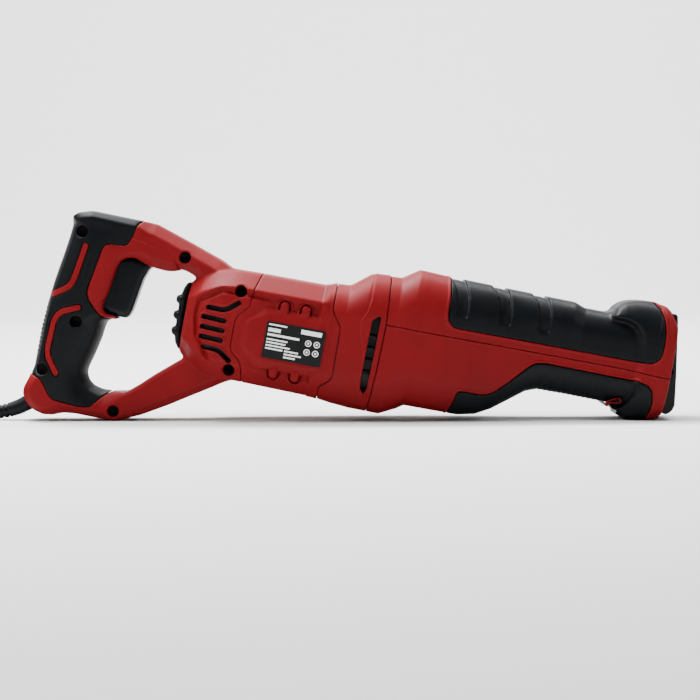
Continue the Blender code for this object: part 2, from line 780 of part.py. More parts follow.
def make_motor(saw):
    """The turning parts of the motor, its stator, brushes and bearings."""
    axis = (0.0, 0.0, MOTOR_Z)

    shaft = motor_disc("motor_shaft", SHAFT_SPAN, SHAFT_RADIUS, 12)
    add_pinion(shaft)
    finish(shaft, "steel", saw, axis)
    core = motor_disc("armature_core", CORE_SPAN, CORE_RADIUS, 24)
    cut(core, shaft_bore(CORE_SPAN))
    finish(core, "laminations", saw, axis)
    commutator = motor_disc("commutator", COMMUTATOR_SPAN, COMMUTATOR_RADIUS, 24)
    cut(commutator, shaft_bore(COMMUTATOR_SPAN))
    finish(commutator, "copper", saw, axis)
    make_fan(saw, axis)
    stator = motor_disc("stator", STATOR_SPAN, STATOR_RADIUS, 24)
    cut(stator, motor_disc("bore", (STATOR_SPAN[0] - 8, STATOR_SPAN[1] + 8), STATOR_BORE, 24))
    finish(stator, "laminations", saw)
    for name, span, radius in BEARINGS:
        ring = motor_disc(name, span, radius)
        cut(ring, shaft_bore(span))
        finish(ring, "steel", saw)
    for name, side in (("right", -1), ("left", 1)):
        near, far = sorted(side * reach for reach in BRUSH_REACH)
        low = (BRUSH_SPAN[0], near, MOTOR_Z - BRUSH_RISE)
        high = (BRUSH_SPAN[1], far, MOTOR_Z + BRUSH_RISE)
        finish(box(f"brush_{name}", low, high), "carbon", saw)


def motor_disc(name, span, radius, sides=20):
    """A disc on the motor's axis, from the first x of the span to the second."""
    return cylinder(name, (span[0], 0, MOTOR_Z), (span[1], 0, MOTOR_Z), radius, sides)


def shaft_bore(span):
    return motor_disc("bore", (span[0] - 5, span[1] + 5), SHAFT_RADIUS + GAP, 12)


def add_pinion(shaft):
    """Straight teeth on the shaft's front end, each narrowing from its root to its tip."""
    root, tip = PINION_RADIUS - 2.7, PINION_RADIUS + 1.1
    rear, front = PINION_SPAN
    join(shaft, motor_disc("pinion_root", (rear - 2, front), PINION_RADIUS - TOOTH_ROOT, 16))
    corners = [(-1.2, root), (1.2, root), (0.45, tip), (-0.45, tip)]
    for k in range(PINION_TEETH):
        turn = Matrix.Rotation(2 * math.pi * k / PINION_TEETH, 4, "X")
        rings = [[turn @ Vector((x, y, z)) for y, z in corners] for x in PINION_SPAN]
        tooth = loft("tooth", rings)
        tooth.data.transform(Matrix.Translation((0, 0, MOTOR_Z * MM)))
        join(shaft, tooth)


def make_fan(saw, axis):
    """The cooling fan: a hub and a back plate with straight blades."""
    fan = motor_disc("cooling_fan", FAN_PLATE_SPAN, FAN_RADIUS, 24)
    join(fan, motor_disc("hub", FAN_HUB_SPAN, FAN_HUB, 16))
    for k in range(FAN_BLADES):
        blade = box("blade", BLADE_LOW, BLADE_HIGH)
        turn = Matrix.Rotation(2 * math.pi * k / FAN_BLADES, 4, "X")
        blade.data.transform(Matrix.Translation((0, 0, MOTOR_Z * MM)) @ turn)
        join(fan, blade)
    cut(fan, shaft_bore((FAN_PLATE_SPAN[0], FAN_HUB_SPAN[1])))
    finish(fan, "black_plastic", saw, axis)


def make_gearbox(saw):
    """The cast frame that holds the front bearing, the gear spindle and the rod's bushes."""
    rear, front, wide, neck = FRAME_REAR, FRAME_FRONT, FRAME_HALF, NECK_HALF
    frame = box("gearbox_frame", (rear, -wide, FLOOR_UNDER), (22.0, wide, FLOOR_TOP))
    join(frame, box("front_floor", (20.0, -neck, FLOOR_UNDER), (front, neck, FLOOR_TOP)))
    join(frame, box("rear_wall", (rear, -wide, WALL_UNDER), (-34.5, wide, 13.0)))
    join(frame, box("front_wall", (front - 8.0, -neck, WALL_UNDER), (front, neck, 44.0)))
    join(frame, rod_disc("barrel", 44.0, BARREL_FRONT, BARREL_RADIUS))
    cut(frame, rod_disc("bore", 30.0, BARREL_FRONT + 8.0, BUSH_RADIUS + GAP))
    cut(frame, motor_disc("seat", (rear - 4.0, -36.3), BEARINGS[1][2] + GAP))
    cut(frame, motor_disc("pass", (-38.0, -30.0), 2 * SHAFT_RADIUS, 16))
    hole_top, hole_floor = FLOOR_TOP + 0.2, -15.0
    cut(frame, cylinder("hole", (0, 0, hole_top), (0, 0, hole_floor), SPINDLE_RADIUS + GAP, 16))
    finish(frame, "aluminium", saw)
    for name, rear_x in BUSH_REARS:
        bush = rod_disc(f"rod_bush_{name}", rear_x, rear_x + BUSH_LENGTH, BUSH_RADIUS)
        cut(bush, rod_disc("bore", rear_x - 5, rear_x + BUSH_LENGTH + 7, ROD_RADIUS + GAP))
        finish(bush, "bronze", saw)


def rod_disc(name, x0, x1, radius):
    """A disc on the plunger rod's axis."""
    return cylinder(name, (x0, 0, STROKE_Z), (x1, 0, STROKE_Z), radius, 20)


def make_plunger(saw):
    """The rod, its crank yoke, and the blade clamp with its turning collar."""
    rear = -CRANK_RADIUS
    axis = (0.0, 0.0, STROKE_Z)
    under = STROKE_Z - ROD_RADIUS
    half, slot_half, slot_reach = 8.5, PIN_RADIUS + 0.4, 18.0
    front, reach = rear + half, slot_reach + 1.5
    yoke = box("crank_yoke", (rear - half, -reach, under), (front, reach, STROKE_Z + 6.0))
    slot_low = (rear - slot_half, -slot_reach, 0.0)
    cut(yoke, box("slot", slot_low, (rear + slot_half, slot_reach, STROKE_Z + 1.0)))
    finish(yoke, "steel", saw, axis)
    finish(rod_disc("plunger_rod", front + GAP, ROD_END, ROD_RADIUS), "steel", saw, axis)
    clamp = rod_disc("blade_clamp", ROD_END + GAP, CLAMP_FRONT, CLAMP_RADIUS)
    slot_rise = 6.4
    low = (CLAMP_FRONT - 16.0, -0.8, STROKE_Z - slot_rise)
    cut(clamp, box("blade_slot", low, (CLAMP_FRONT + 7.0, 0.8, STROKE_Z + slot_rise)))
    finish(clamp, "black_steel", saw, axis)
    collar = rod_disc("clamp_collar", *COLLAR_SPAN, COLLAR_RADIUS)
    ear_low = (COLLAR_SPAN[0] + 2.0, -2.5, STROKE_Z + COLLAR_RADIUS - 3.0)
    ear_high = (COLLAR_SPAN[1] - 2.0, 2.5, STROKE_Z + COLLAR_RADIUS + 2.0)
    join(collar, box("ear", ear_low, ear_high))
    cut(collar, rod_disc("bore", COLLAR_SPAN[0] - 14.0, COLLAR_SPAN[1] + 22.0, CLAMP_RADIUS + GAP))
    finish(collar, "black_plastic", saw, axis)


def make_controls(saw):
    """The trigger, its lock button, the switch, the capacitor and the cord clamp."""
    trigger = prism("trigger", TRIGGER, -TRIGGER_HALF, TRIGGER_HALF)
    soften = trigger.modifiers.new("edges", "BEVEL")
    soften.width = 1.6 * MM
    soften.segments = 1
    soften.limit_method = "ANGLE"
    soften.angle_limit = math.radians(50)
    finish(trigger, "black_plastic", saw, TRIGGER_PIVOT)
    x, z = BUTTON_PLACE
    inner = (x, BUTTON_INNER, z)
    button = cylinder("lock_button", inner, (x, BUTTON_OUTER, z), BUTTON_RADIUS)
    flange_top = (x, BUTTON_INNER + FLANGE_THICK, z)
    join(button, cylinder("flange", inner, flange_top, BUTTON_RADIUS + FLANGE_THICK))
    finish(button, "black_plastic", saw, inner)
    switch = box("switch_module", (-255.0, -9.0, -1.0), (-234.6, 9.0, 27.0))
    join(switch, box("terminals", (-251.0, -6.0, -7.0), (-240.0, 6.0, 0.0)))
    finish(switch, "black_plastic", saw)
    finish(box("noise_capacitor", (-255.0, -8.0, -47.0), (-238.0, 8.0, -33.0)), "label", saw)
    clamp = box("cord_clamp", (-256.5, -11.0, -75.5), (-243.0, 11.0, -71.5))
    finish(clamp, "black_plastic", saw)


def make_shoe(saw):
    """The pivoting shoe, its pins, and the sliding bracket that carries it."""
    px, pz = SHOE_PIVOT
    half, thick = SHOE_HALF_WIDTH, SHOE_PLATE
    front = [(186.0, 63.0), (186.6, 60.0), (195.5, -1.5), (194.8, -5.0), (192.5, -8.0), (189.8, -8.8)]
    back = [(187.4, -7.4), (188.6, -5.0), (191.6, -4.4), (193.2, -1.2)]
    back += [(186.6 - thick, 59.4), (184.0, 63.6), (185.2, 64.4)]
    shoe = prism("shoe_plate", front + back, -half, half)
    for side in (-1, 1):
        near, far = sorted(side * reach for reach in EAR_SPAN)
        ear = [(191.5, 14.0), (178.5, 20.0), (176.8, pz), (179.5, 33.5), (188.9, 40.0)]
        join(shoe, prism("ear", ear, near, far))
    cut(shoe, box("blade_slot", (170.0, -4.5, 4.0), (210.0, 4.5, 46.0)))
    cut(shoe, cylinder("pin_hole", (px, -20.0, pz), (px, 20.0, pz), PIN_HOLE, 12))
    finish(shoe, "black_steel", saw, (px, 0.0, pz))
    for name, side in (("right", -1), ("left", 1)):
        near, far = (side * reach for reach in SHOE_PIN_SPAN)
        pin = cylinder(f"shoe_pin_{name}", (px, near, pz), (px, far, pz), SHOE_PIN_RADIUS, 12)
        finish(pin, "steel", saw, (px, 0.0, pz))
    make_bracket(saw)


def make_bracket(saw):
    """The sliding bracket: two arms for the shoe's pins, a cross wall, and a tongue behind it."""
    px, pz = SHOE_PIVOT
    rear, wall_front, front = BRACKET_X
    near, far = ARM_SPAN
    under, top = ARM_Z
    low, high = TONGUE_Z
    bracket = box("shoe_bracket", (rear, -far, under), (front, -near, top))
    join(bracket, box("arm", (rear, near, under), (front, far, top)))
    join(bracket, box("bridge", (rear, -16.0, 6.0), (wall_front, 16.0, top)))
    cut(bracket, box("rod_gap", (150.0, GAP - near, 9.0), (165.0, near - GAP, 60.0)))
    join(bracket, box("tongue", (rear - 28.0, -9.0, low), (wall_front, 9.0, high)))
    join(bracket, box("step", (rear, -16.0, low), (wall_front, 16.0, 9.5)))
    cut(bracket, cylinder("pin_hole", (px, -30.0, pz), (px, 30.0, pz), PIN_HOLE, 12))
    finish(bracket, "black_steel", saw)


def tube(name, points, radii, resolution=2):
    """A round tube along points in metres, with a radius at each, as a curve with filled caps."""
    curve = bpy.data.curves.new(name, "CURVE")
    curve.dimensions = "3D"
    curve.bevel_depth = 1.0
    curve.bevel_resolution = resolution
    curve.use_fill_caps = True
    spline = curve.splines.new("POLY")
    spline.points.add(len(points) - 1)
    for spot, place, radius in zip(spline.points, points, radii):
        spot.co = (*place, 1.0)
        spot.radius = radius
    made = bpy.data.objects.new(name, curve)
    bpy.context.scene.collection.objects.link(made)
    return made


def smooth_line(points, step):
    """A Catmull-Rom curve through the points, read every step metres."""
    line = [2 * points[0] - points[1], *points, 2 * points[-1] - points[-2]]
    fine = []
    for a, b, c, d in zip(line, line[1:], line[2:], line[3:]):
        parts = max(2, math.ceil((c - b).length / step))
        for k in range(parts):
            t = k / parts
            place = 2 * b + (c - a) * t + (2 * a - 5 * b + 4 * c - d) * t**2
            place += (3 * b - a - 3 * c + d) * t**3
            fine.append(place / 2)
    return [*fine, points[-1]]


def place_saw(saw):
    """Tilts the tool, then sets it on the floor with the middle of its box over the origin."""
    rise = NOSE_FOOT[1] - HANDLE_FOOT[1]
    saw.rotation_euler = (0.0, math.atan2(rise, NOSE_FOOT[0] - HANDLE_FOOT[0]), 0.0)
    bpy.context.view_layer.update()
    corners = [
        thing.matrix_world @ vertex.co for thing in saw.children for vertex in thing.data.vertices
    ]
    low = Vector([min(c[k] for c in corners) for k in range(3)])
    high = Vector([max(c[k] for c in corners) for k in range(3)])
    saw.location = (-(low.x + high.x) / 2, -(low.y + high.y) / 2, -low.z)
    bpy.context.view_layer.update()


GUARD_ROUTE = [(-235.0, 13.2), (-243.0, 9.4), (-253.0, 6.6), (-265.0, 5.3), (-279.2, 4.9)]  # x, z
GUARD_RADII = (5.7, 4.5)  # at the handle and at the lead
LEAD_ROUTE = [(-279.5, 0.0), (-284.5, 0.0), (-288.5, -0.4), (-293.2, -1.5)]  # x, y
TAIL_ROUTE = [
    (-376.0, 32.0, 26.2),
    (-375.6, 41.0, 26.4),
    (-372.0, 51.5, 27.6),
    (-365.0, 60.0, 29.8),
    (-355.0, 65.3, 31.5),
    (-347.4, 66.0, 31.8),
]


def make_cord():
    """The cord guard, the free lead on the floor, its coil, and the plug lying on the coil."""
    guard = [Vector((x, 0.0, z)) * MM for x, z in GUARD_ROUTE]
    line = smooth_line(guard, 0.006)
    root, tip = GUARD_RADII
    radii = [(root + (tip - root) * k / (len(line) - 1)) * MM for k in range(len(line))]
    set_material(tube("cord_guard", line, radii, 3), "black_rubber")
    lead = [Vector((x, y, CORD_RADIUS + GAP)) * MM for x, y in LEAD_ROUTE]
    lead = smooth_line(lead, 0.008)
    set_material(tube("cord_lead", lead, [CORD_RADIUS * MM] * len(lead)), "black_rubber")
    coil_x, coil_y = COIL_CENTRE
    ring = cylinder("cord_coil", (coil_x, coil_y, 0.2), (coil_x, coil_y, COIL_HEIGHT), COIL_OUTER, 32)
    cut(ring, cylinder("eye", (coil_x, coil_y, -5.0), (coil_x, coil_y, 40.0), COIL_INNER, 32))
    set_material(ring, "black_rubber")
    tail = smooth_line([Vector(p) * MM for p in TAIL_ROUTE], 0.008)
    set_material(tube("cord_tail", tail, [CORD_RADIUS * MM] * len(tail)), "black_rubber")
    make_plug()


def make_plug():
    """A three-pin plug on its back, with its pins up."""
    x, y = PLUG_CENTRE
    wide, deep, high = (size / 2 for size in PLUG_SIZE)
    base = COIL_HEIGHT + GAP
    slant = PLUG_SLANT
    half = [(-wide, -deep + slant), (-wide + slant, -deep), (wide, -deep)]
    corners = half + [(a, -b) for a, b in reversed(half)]
    levels = ((0.0, 0.9), (6.0, 1.0), (2 * high, 1.0))
    rings = [[(x + a * s, y + b * s, base + z) for a, b in corners] for z, s in levels]
    plug = loft("mains_plug", rings)
    set_material(plug, "black_plastic")
    top = base + 2 * high
    for name, dx, dy, half_x, half_y, long in PLUG_PINS:
        low = (x + dx - half_x, y + dy - half_y, top + GAP)
        high_corner = (x + dx + half_x, y + dy + half_y, top + long)
        set_material(box(f"plug_pin_{name}", low, high_corner), "brass")


def set_material(thing, slot):
    thing.data.materials.clear()
    thing.data.materials.append(material(slot))


def main():
    clear_scene()
    saw = bpy.data.objects.new("saw", None)
    bpy.context.scene.collection.objects.link(saw)
    make_handle(saw)
    make_screws(saw)
    make_housings(saw)
    make_front(saw)
    make_bumper(saw)
    make_motor(saw)
    make_drive(saw)
    make_gearbox(saw)
    make_plunger(saw)
    make_controls(saw)
    make_shoe(saw)
    make_lever(saw)
    place_saw(saw)
    make_cord()


main()
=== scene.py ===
"""The looks of a corded reciprocating saw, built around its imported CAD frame.

Shells, grips and boots are written as distance fields in the tool frame, in millimetres: +X along
the stroke to the nose, +Z up through the handle, y = 0 on the split of the handle. A field is
negative inside. OpenVDB, which comes with Blender, turns each one into a mesh.
"""

import json
import math

import bmesh
import bpy
import numpy as np
import openvdb as vdb
from mathutils import Matrix, Vector

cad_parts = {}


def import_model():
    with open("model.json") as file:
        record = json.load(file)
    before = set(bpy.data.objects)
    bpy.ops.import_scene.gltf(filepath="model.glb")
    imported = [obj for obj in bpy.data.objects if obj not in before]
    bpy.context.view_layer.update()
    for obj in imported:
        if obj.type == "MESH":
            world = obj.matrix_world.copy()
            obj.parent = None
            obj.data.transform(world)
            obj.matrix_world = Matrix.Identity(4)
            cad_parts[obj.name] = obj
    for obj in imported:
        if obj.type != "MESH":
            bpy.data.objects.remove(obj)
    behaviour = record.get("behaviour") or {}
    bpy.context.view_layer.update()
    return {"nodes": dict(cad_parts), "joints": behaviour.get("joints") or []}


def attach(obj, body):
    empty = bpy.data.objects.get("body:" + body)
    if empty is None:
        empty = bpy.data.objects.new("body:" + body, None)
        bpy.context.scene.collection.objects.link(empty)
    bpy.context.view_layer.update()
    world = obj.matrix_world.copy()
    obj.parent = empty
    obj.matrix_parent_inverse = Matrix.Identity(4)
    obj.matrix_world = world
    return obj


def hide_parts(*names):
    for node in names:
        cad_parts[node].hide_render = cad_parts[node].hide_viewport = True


MM = 0.001
STEP = 0.6  # grid spacing of the fields
GAP = 0.35  # between pieces that meet
SEAM_GAP = 0.14  # half of the fine joint between two housings
FAR = 120.0
WALL = 3.3
SKIN = 1.8  # the soft grip
BOOT_SKIN = 2.4  # the soft boots

# Places in the tool frame
SHOE_PIVOT = (183.0, 0.0, 27.0)
SHOE_TILT = 25.0
TILT_STEPS = 5
ARM_OUTLINE = [(150.0, 19.5), (187.0, 19.5), (187.0, 34.5), (150.0, 34.5)]
ARM_INSIDE = 14.5
MOTOR_Z = -2.0
SEAM_Z = 18.4  # where the upper and lower front covers meet

# The housings' outside and inside, as (x, top, bottom, half width)
BODY = [
    (-164.0, 21.0, -27.0, 23.0),
    (-160.0, 26.5, -32.0, 29.0),
    (-150.0, 32.0, -38.5, 34.0),
    (-138.0, 36.5, -41.0, 36.5),
    (-126.0, 37.5, -41.5, 37.0),
    (-66.0, 37.8, -42.8, 37.0),
    (-60.0, 40.3, -43.8, 37.3),
    (-50.0, 41.0, -45.2, 37.6),
    (-36.0, 52.0, -46.3, 38.0),
    (-14.0, 53.2, -46.5, 38.0),
    (-2.0, 61.3, -40.5, 38.0),
    (3.0, 61.3, -37.0, 38.0),
    (20.0, 60.4, -37.0, 37.0),
    (42.0, 60.0, -36.7, 34.0),
    (55.0, 59.8, -34.0, 31.5),
    (66.0, 59.6, -28.0, 30.0),
    (88.0, 59.3, -11.0, 28.5),
    (96.0, 59.1, -8.0, 28.0),
    (112.0, 59.0, -7.8, 28.0),
    (120.0, 56.0, -7.8, 26.5),
    (141.0, 56.0, -8.0, 26.5),
    (147.0, 65.5, -8.6, 26.6),
    (155.0, 68.6, -15.0, 27.0),
    (163.0, 69.4, -17.6, 28.6),
    (171.0, 69.3, -16.5, 30.0),
    (178.0, 67.3, -15.2, 30.0),
    (184.0, 62.6, -13.6, 29.4),
    (187.0, 57.5, -12.0, 28.6),
]
HOLLOW = [
    (-161.0, 16.0, -22.0, 19.0),
    (-150.0, 28.5, -35.0, 30.5),
    (-138.0, 33.3, -37.8, 33.0),
    (-66.0, 34.4, -39.4, 33.4),
    (-50.0, 37.5, -41.8, 34.3),
    (-36.0, 47.5, -42.8, 34.6),
    (-14.0, 49.2, -42.8, 34.6),
    (3.0, 56.5, -33.4, 34.6),
    (42.0, 55.8, -32.6, 30.4),
    (58.0, 55.2, -26.0, 26.5),
    (84.0, 53.0, -3.0, 23.0),
    (96.0, 51.6, -1.6, 22.0),
    (160.0, 51.6, -1.6, 22.0),
]
MOUTH = ((157.2, -19.4, -10.7), (200.0, 19.4, 60.4))
SHOE_NOTCH = ((182.0, -18.6, 50.0), (200.5, 18.6, 75.0))

# The D handle in the side view, as (x, z), and its half thickness along x
HANDLE_OUTLINE = [
    (-118.0, 36.0), (-137.0, 37.3), (-145.0, 41.4), (-158.0, 46.0), (-172.0, 50.8),
    (-186.0, 55.4), (-196.5, 58.8), (-206.0, 59.3), (-244.0, 60.0), (-253.0, 57.2),
    (-257.4, 54.0), (-257.3, 47.0), (-258.2, 38.0), (-260.3, 24.0), (-264.0, 2.0),
    (-265.7, -12.0), (-267.0, -30.0), (-267.2, -60.0), (-268.3, -68.0), (-270.4, -75.0),
    (-270.2, -79.5), (-267.5, -84.5), (-263.8, -88.0), (-260.0, -90.2), (-253.0, -92.0),
    (-246.0, -91.0), (-239.0, -88.2), (-231.0, -87.2), (-203.0, -87.5), (-197.0, -85.9),
    (-182.0, -78.9), (-165.0, -68.8), (-140.0, -52.5), (-127.0, -44.0), (-112.0, -36.0),
]
HAND_OPENING = [
    (-208.0, 33.2), (-202.0, 31.2), (-196.0, 28.6), (-184.0, 27.5), (-178.0, 28.3),
    (-174.0, 30.0), (-169.0, 29.4), (-163.0, 27.3), (-160.6, 25.5), (-163.4, 21.0),
    (-164.3, -27.0), (-159.5, -32.5), (-166.0, -38.0), (-180.0, -50.0), (-190.0, -59.6),
    (-197.0, -65.4), (-206.0, -66.5), (-215.0, -66.1), (-221.0, -64.6), (-225.0, -61.4),
    (-227.2, -57.0), (-227.0, -52.5), (-224.4, -43.0), (-221.4, -30.0), (-220.0, -18.0),
    (-219.8, -16.2), (-211.0, -13.8), (-210.6, -11.8), (-221.5, -11.2), (-224.0, -7.4),
    (-223.6, -2.0), (-221.2, 12.0), (-219.2, 25.0), (-217.2, 29.2), (-213.0, 32.0),
]
HANDLE_HALF = [
    (-275.0, 17.6), (-250.0, 17.6), (-210.0, 17.2), (-186.0, 16.8), (-165.0, 18.4),
    (-150.0, 21.0), (-138.0, 23.5), (-120.0, 25.5),
]
GRIP_REGION = [
    (-290.0, 80.0), (-205.5, 80.0), (-206.2, 59.5), (-209.8, 55.5), (-211.6, 47.0),
    (-213.4, 41.8), (-216.0, 39.4), (-226.5, 38.9), (-229.8, 37.6), (-231.6, 34.0),
    (-233.6, 22.0), (-236.8, 4.0), (-236.6, 0.5), (-234.6, -3.6), (-229.5, -9.6),
    (-224.8, -13.6), (-222.0, -14.6), (-212.0, -15.4), (-206.5, -25.0), (-206.0, -66.0),
    (-210.0, -68.4), (-214.2, -72.2), (-219.3, -78.9), (-222.0, -80.6), (-230.0, -81.0),
    (-241.0, -80.2), (-247.8, -79.4), (-251.4, -76.6), (-256.2, -69.4), (-259.6, -66.2),
    (-267.0, -64.2), (-290.0, -63.0),
]
# The raised band over the trigger
ARCH = [
    (-216.0, 46.0), (-200.0, 43.8), (-188.0, 40.4), (-180.0, 36.4), (-175.5, 31.8), (-173.0, 26.0),
    (-200.0, 20.0), (-240.0, -16.0), (-240.0, 46.0),
]
STRIPES = [
    [(-243.6, 34.2), (-247.0, 13.0), (-248.4, 6.5), (-250.6, 3.0), (-254.0, 0.3), (-261.0, -4.4)],
    [(-241.2, -10.6), (-251.5, -15.2), (-255.0, -18.6), (-256.8, -24.0), (-257.8, -44.0),
     (-256.2, -50.0), (-248.8, -60.2)],
]
STRIPE_RADIUS = 2.1
TRIGGER_GAP = ((-242.0, -10.6, -12.9), (-211.0, 10.6, 33.4))
TRIGGER = [
    (-232.0, -9.5), (-223.4, -10.2), (-219.6, -11.8), (-213.0, -12.2), (-207.4, -12.4),
    (-204.2, -10.8), (-202.4, -6.4), (-200.8, 2.0), (-199.6, 10.0), (-198.2, 18.0),
    (-195.6, 25.0), (-192.4, 29.4), (-202.0, 32.2), (-209.0, 33.0), (-232.0, 29.0),
]
TRIGGER_HALF = 9.9
SWITCH_ROOM = ((-262.0, -9.5, -8.0), (-228.0, 9.5, 27.6))  # what the pulled trigger must clear
BUTTON_PLACE = (-228.4, 14.0)
BUTTON_RADIUS = 4.4
# Screw places as (x, z, how far the housing's face stands from the middle)
SCREWS = [
    (-248.0, 44.0, 17.4), (-241.0, -21.0, 17.5), (-259.0, -59.5, 17.0), (-203.0, -80.0, 16.5),
    (-171.5, 39.0, 17.0), (-126.5, 23.0, 36.0), (-125.5, -34.0, 35.0),
]
SCREW_BORE = 4.2
SCREW_FLOOR = 7.0
GRIP_SCREWS = -240.0  # the screws behind this x go through the grip
BORE_SLEEVE = 0.8
# Thickness and front end of the black sheet that paints the shade inside the housings
SHADE_SHEET_DEPTH = 1.0
SHADE_SHEET_FRONT = 148.0
BOSS = 6.2
BUMPER = [
    (-163.9, 22.3), (-166.6, 21.6), (-168.6, 17.4), (-169.6, 12.2), (-172.3, 11.4),
    (-172.8, 9.0), (-172.4, 6.6), (-170.3, 5.6), (-169.9, 0.6), (-172.5, -0.2),
    (-173.0, -2.6), (-172.4, -5.0), (-170.0, -6.0), (-169.8, -10.8), (-172.0, -11.8),
    (-172.4, -14.2), (-171.4, -16.8), (-169.2, -17.8), (-168.0, -22.6), (-165.0, -27.0),
    (-163.9, -27.0),
]
BUMPER_HALF = 18.0

# The zigzag joints between the housings, top to bottom
SEAM_REAR = [
    (-113.0, FAR), (-114.0, 37.5), (-117.0, 27.0), (-118.5, 13.5), (-126.0, 5.0),
    (-127.0, 2.0), (-127.0, -17.0), (-125.5, -20.5), (-118.5, -26.5), (-117.0, -31.0),
    (-115.0, -42.0), (-113.0, -FAR),
]
SEAM_MIDDLE = [
    (-59.6, FAR), (-59.6, 21.5), (-52.0, 11.0), (-51.4, -24.5), (-53.0, -28.0),
    (-59.8, -34.0), (-60.5, -FAR),
]
SEAM_FRONT = [
    (-22.8, FAR), (-22.3, 52.0), (-20.6, 18.0), (-21.4, -15.0), (-23.0, -45.0), (-23.4, -FAR),
]
# The set-back side of the motor housing, and the raised plate that carries the vents
SIDE_RELIEF = [
    (-66.5, 25.4), (-140.8, 25.2), (-157.8, 13.5), (-158.2, 0.0), (-155.0, -14.3),
    (-142.2, -33.0), (-130.9, -38.4), (-120.0, -40.2), (-66.5, -40.6),
]
VENT_PLATE = [
    (-100.0, 20.4), (-138.9, 20.2), (-154.2, 9.9), (-154.8, 0.0), (-151.8, -13.7),
    (-139.0, -30.3), (-131.0, -34.6), (-100.0, -35.6),
]
RELIEF_DEPTH = 2.9
CROWN = (12.0, 13.5)  # how high and how wide the flat shoulders are
SIDE_PANEL = [
    (-107.0, 15.2), (-119.6, 7.4), (-122.4, 3.2), (-122.4, -13.8), (-119.6, -19.6),
    (-107.0, -28.0), (-66.5, -28.0), (-58.6, -23.6), (-58.6, 9.4), (-66.5, 15.2),
]
PANEL_FACE = 38.0
PANEL_BEVEL = (5.2, 2.6)  # how wide and how deep
TABS = [(-93.7, 1), (-78.2, 1), (-93.6, -1), (-78.0, -1)]  # x, and which edge of the panel
LABEL = ((-104.0, -20.0), (-61.6, 6.0), 0.5)
MARK_RING_X = (-72.6, -66.4)
MARK_RING_Z = (-4.6, -11.0)
VENTS = [
    [(-147.2, 7.8), (-136.8, 7.8), (-133.4, 9.2), (-126.6, 14.6)],
    [(-149.6, 0.6), (-134.6, 0.2)],
    [(-149.3, -6.5), (-134.6, -6.9)],
    [(-149.0, -13.5), (-134.6, -13.9)],
    [(-146.0, -20.5), (-136.6, -20.9), (-133.4, -22.0), (-126.4, -27.2)],
]
VENT_RADIUS = 1.75
OUTLET = [
    (-30.6, 20.0), (-25.9, 24.2), (-24.8, 23.0), (-25.0, 0.0), (-25.8, -28.5), (-27.4, -33.4),
    (-30.6, -29.5), (-31.2, -22.0),
]
OUTLET_RIBS = (9.0, 0.3, -8.4, -17.0)

BARREL_END = 142.0
BARREL = (190.0, 56.0, -8.0, 26.5)
FLANGE_REAR = [
    (136.0, 61.0, -7.6, 30.0), (142.0, 64.2, -8.0, 30.0), (148.0, 67.2, -9.4, 30.0),
    (155.0, 68.8, -15.0, 30.0), (163.0, 69.4, -17.6, 30.0),
]
# The flange behind the nose, whose rear edge leans back at the top
FLANGE = [
    (140.4, 54.6), (141.6, 60.6), (144.8, 65.0), (150.0, 68.4), (160.0, 71.5), (210.0, 90.0),
    (210.0, -40.0), (150.0, -30.0), (145.0, -9.6), (157.0, -9.6), (160.0, -6.0), (163.6, 0.0),
    (165.4, 8.0),
    (165.8, 28.0), (164.6, 38.0), (161.6, 46.0), (156.8, 51.0), (150.0, 53.4), (141.0, 53.6),
]

BOOT_UPPER_REGION = [
    (19.8, 90.0), (20.0, 60.0), (21.6, 50.0), (22.0, 34.0), (23.4, 29.4), (26.8, 26.2),
    (30.0, 25.5), (166.0, 25.2), (172.5, 26.2), (176.4, 28.8), (178.2, 33.0), (178.6, 40.0),
    (178.2, 49.0), (176.2, 58.0), (172.6, 64.6), (166.5, 69.6), (160.0, 90.0),
]
BOOT_LOWER_REGION = [
    (33.4, -60.0), (34.6, -36.0), (37.4, -27.0), (38.2, -21.0), (39.4, -19.2), (41.5, -18.7),
    (56.0, -18.8), (61.5, -17.4), (66.5, -13.8), (72.0, -8.2), (80.0, 0.6), (86.8, 8.0),
    (90.6, 10.8), (98.0, 12.0), (128.0, 11.6), (166.0, 11.2), (172.8, 9.6), (176.2, 6.0),
    (177.8, -2.0), (177.6, -8.0), (176.0, -14.0), (174.6, -20.0), (174.0, -60.0),
]
# The bands pressed into the upper boot, as lines running down its side
BANDS = [
    [(24.0, 75.0), (25.0, 60.0), (28.2, 55.0), (30.2, 49.0), (31.2, 42.0), (31.6, 28.0)],
    [(54.0, 75.0), (55.6, 60.0), (59.6, 55.0), (61.6, 49.0), (62.8, 42.0), (63.2, 28.0)],
    [(83.4, 75.0), (85.2, 60.0), (88.8, 55.0), (90.6, 49.0), (91.6, 42.0), (91.8, 28.0)],
]
BAND_RADIUS = 4.6
BAND_END = 33.4
LEVER_PIVOT = (154.5, -4.6)
LEVER = [
    (145.4, -9.2), (146.4, -6.8), (150.0, -4.6), (152.4, -3.3), (154.6, -2.7), (156.6, -3.5),
    (157.4, -5.0), (156.4, -6.8), (154.0, -7.4), (150.0, -7.9), (147.8, -9.6),
]
LEVER_BAR = [(145.5, -8.8), (147.1, -8.0), (148.4, -10.1), (147.1, -11.2)]
LEVER_RIM = 0.9
LEVER_CHEEK = (20.3, 23.0)  # the cheeks' inner and outer faces
LEVER_SWING = 50.0
LEVER_STEPS = 8

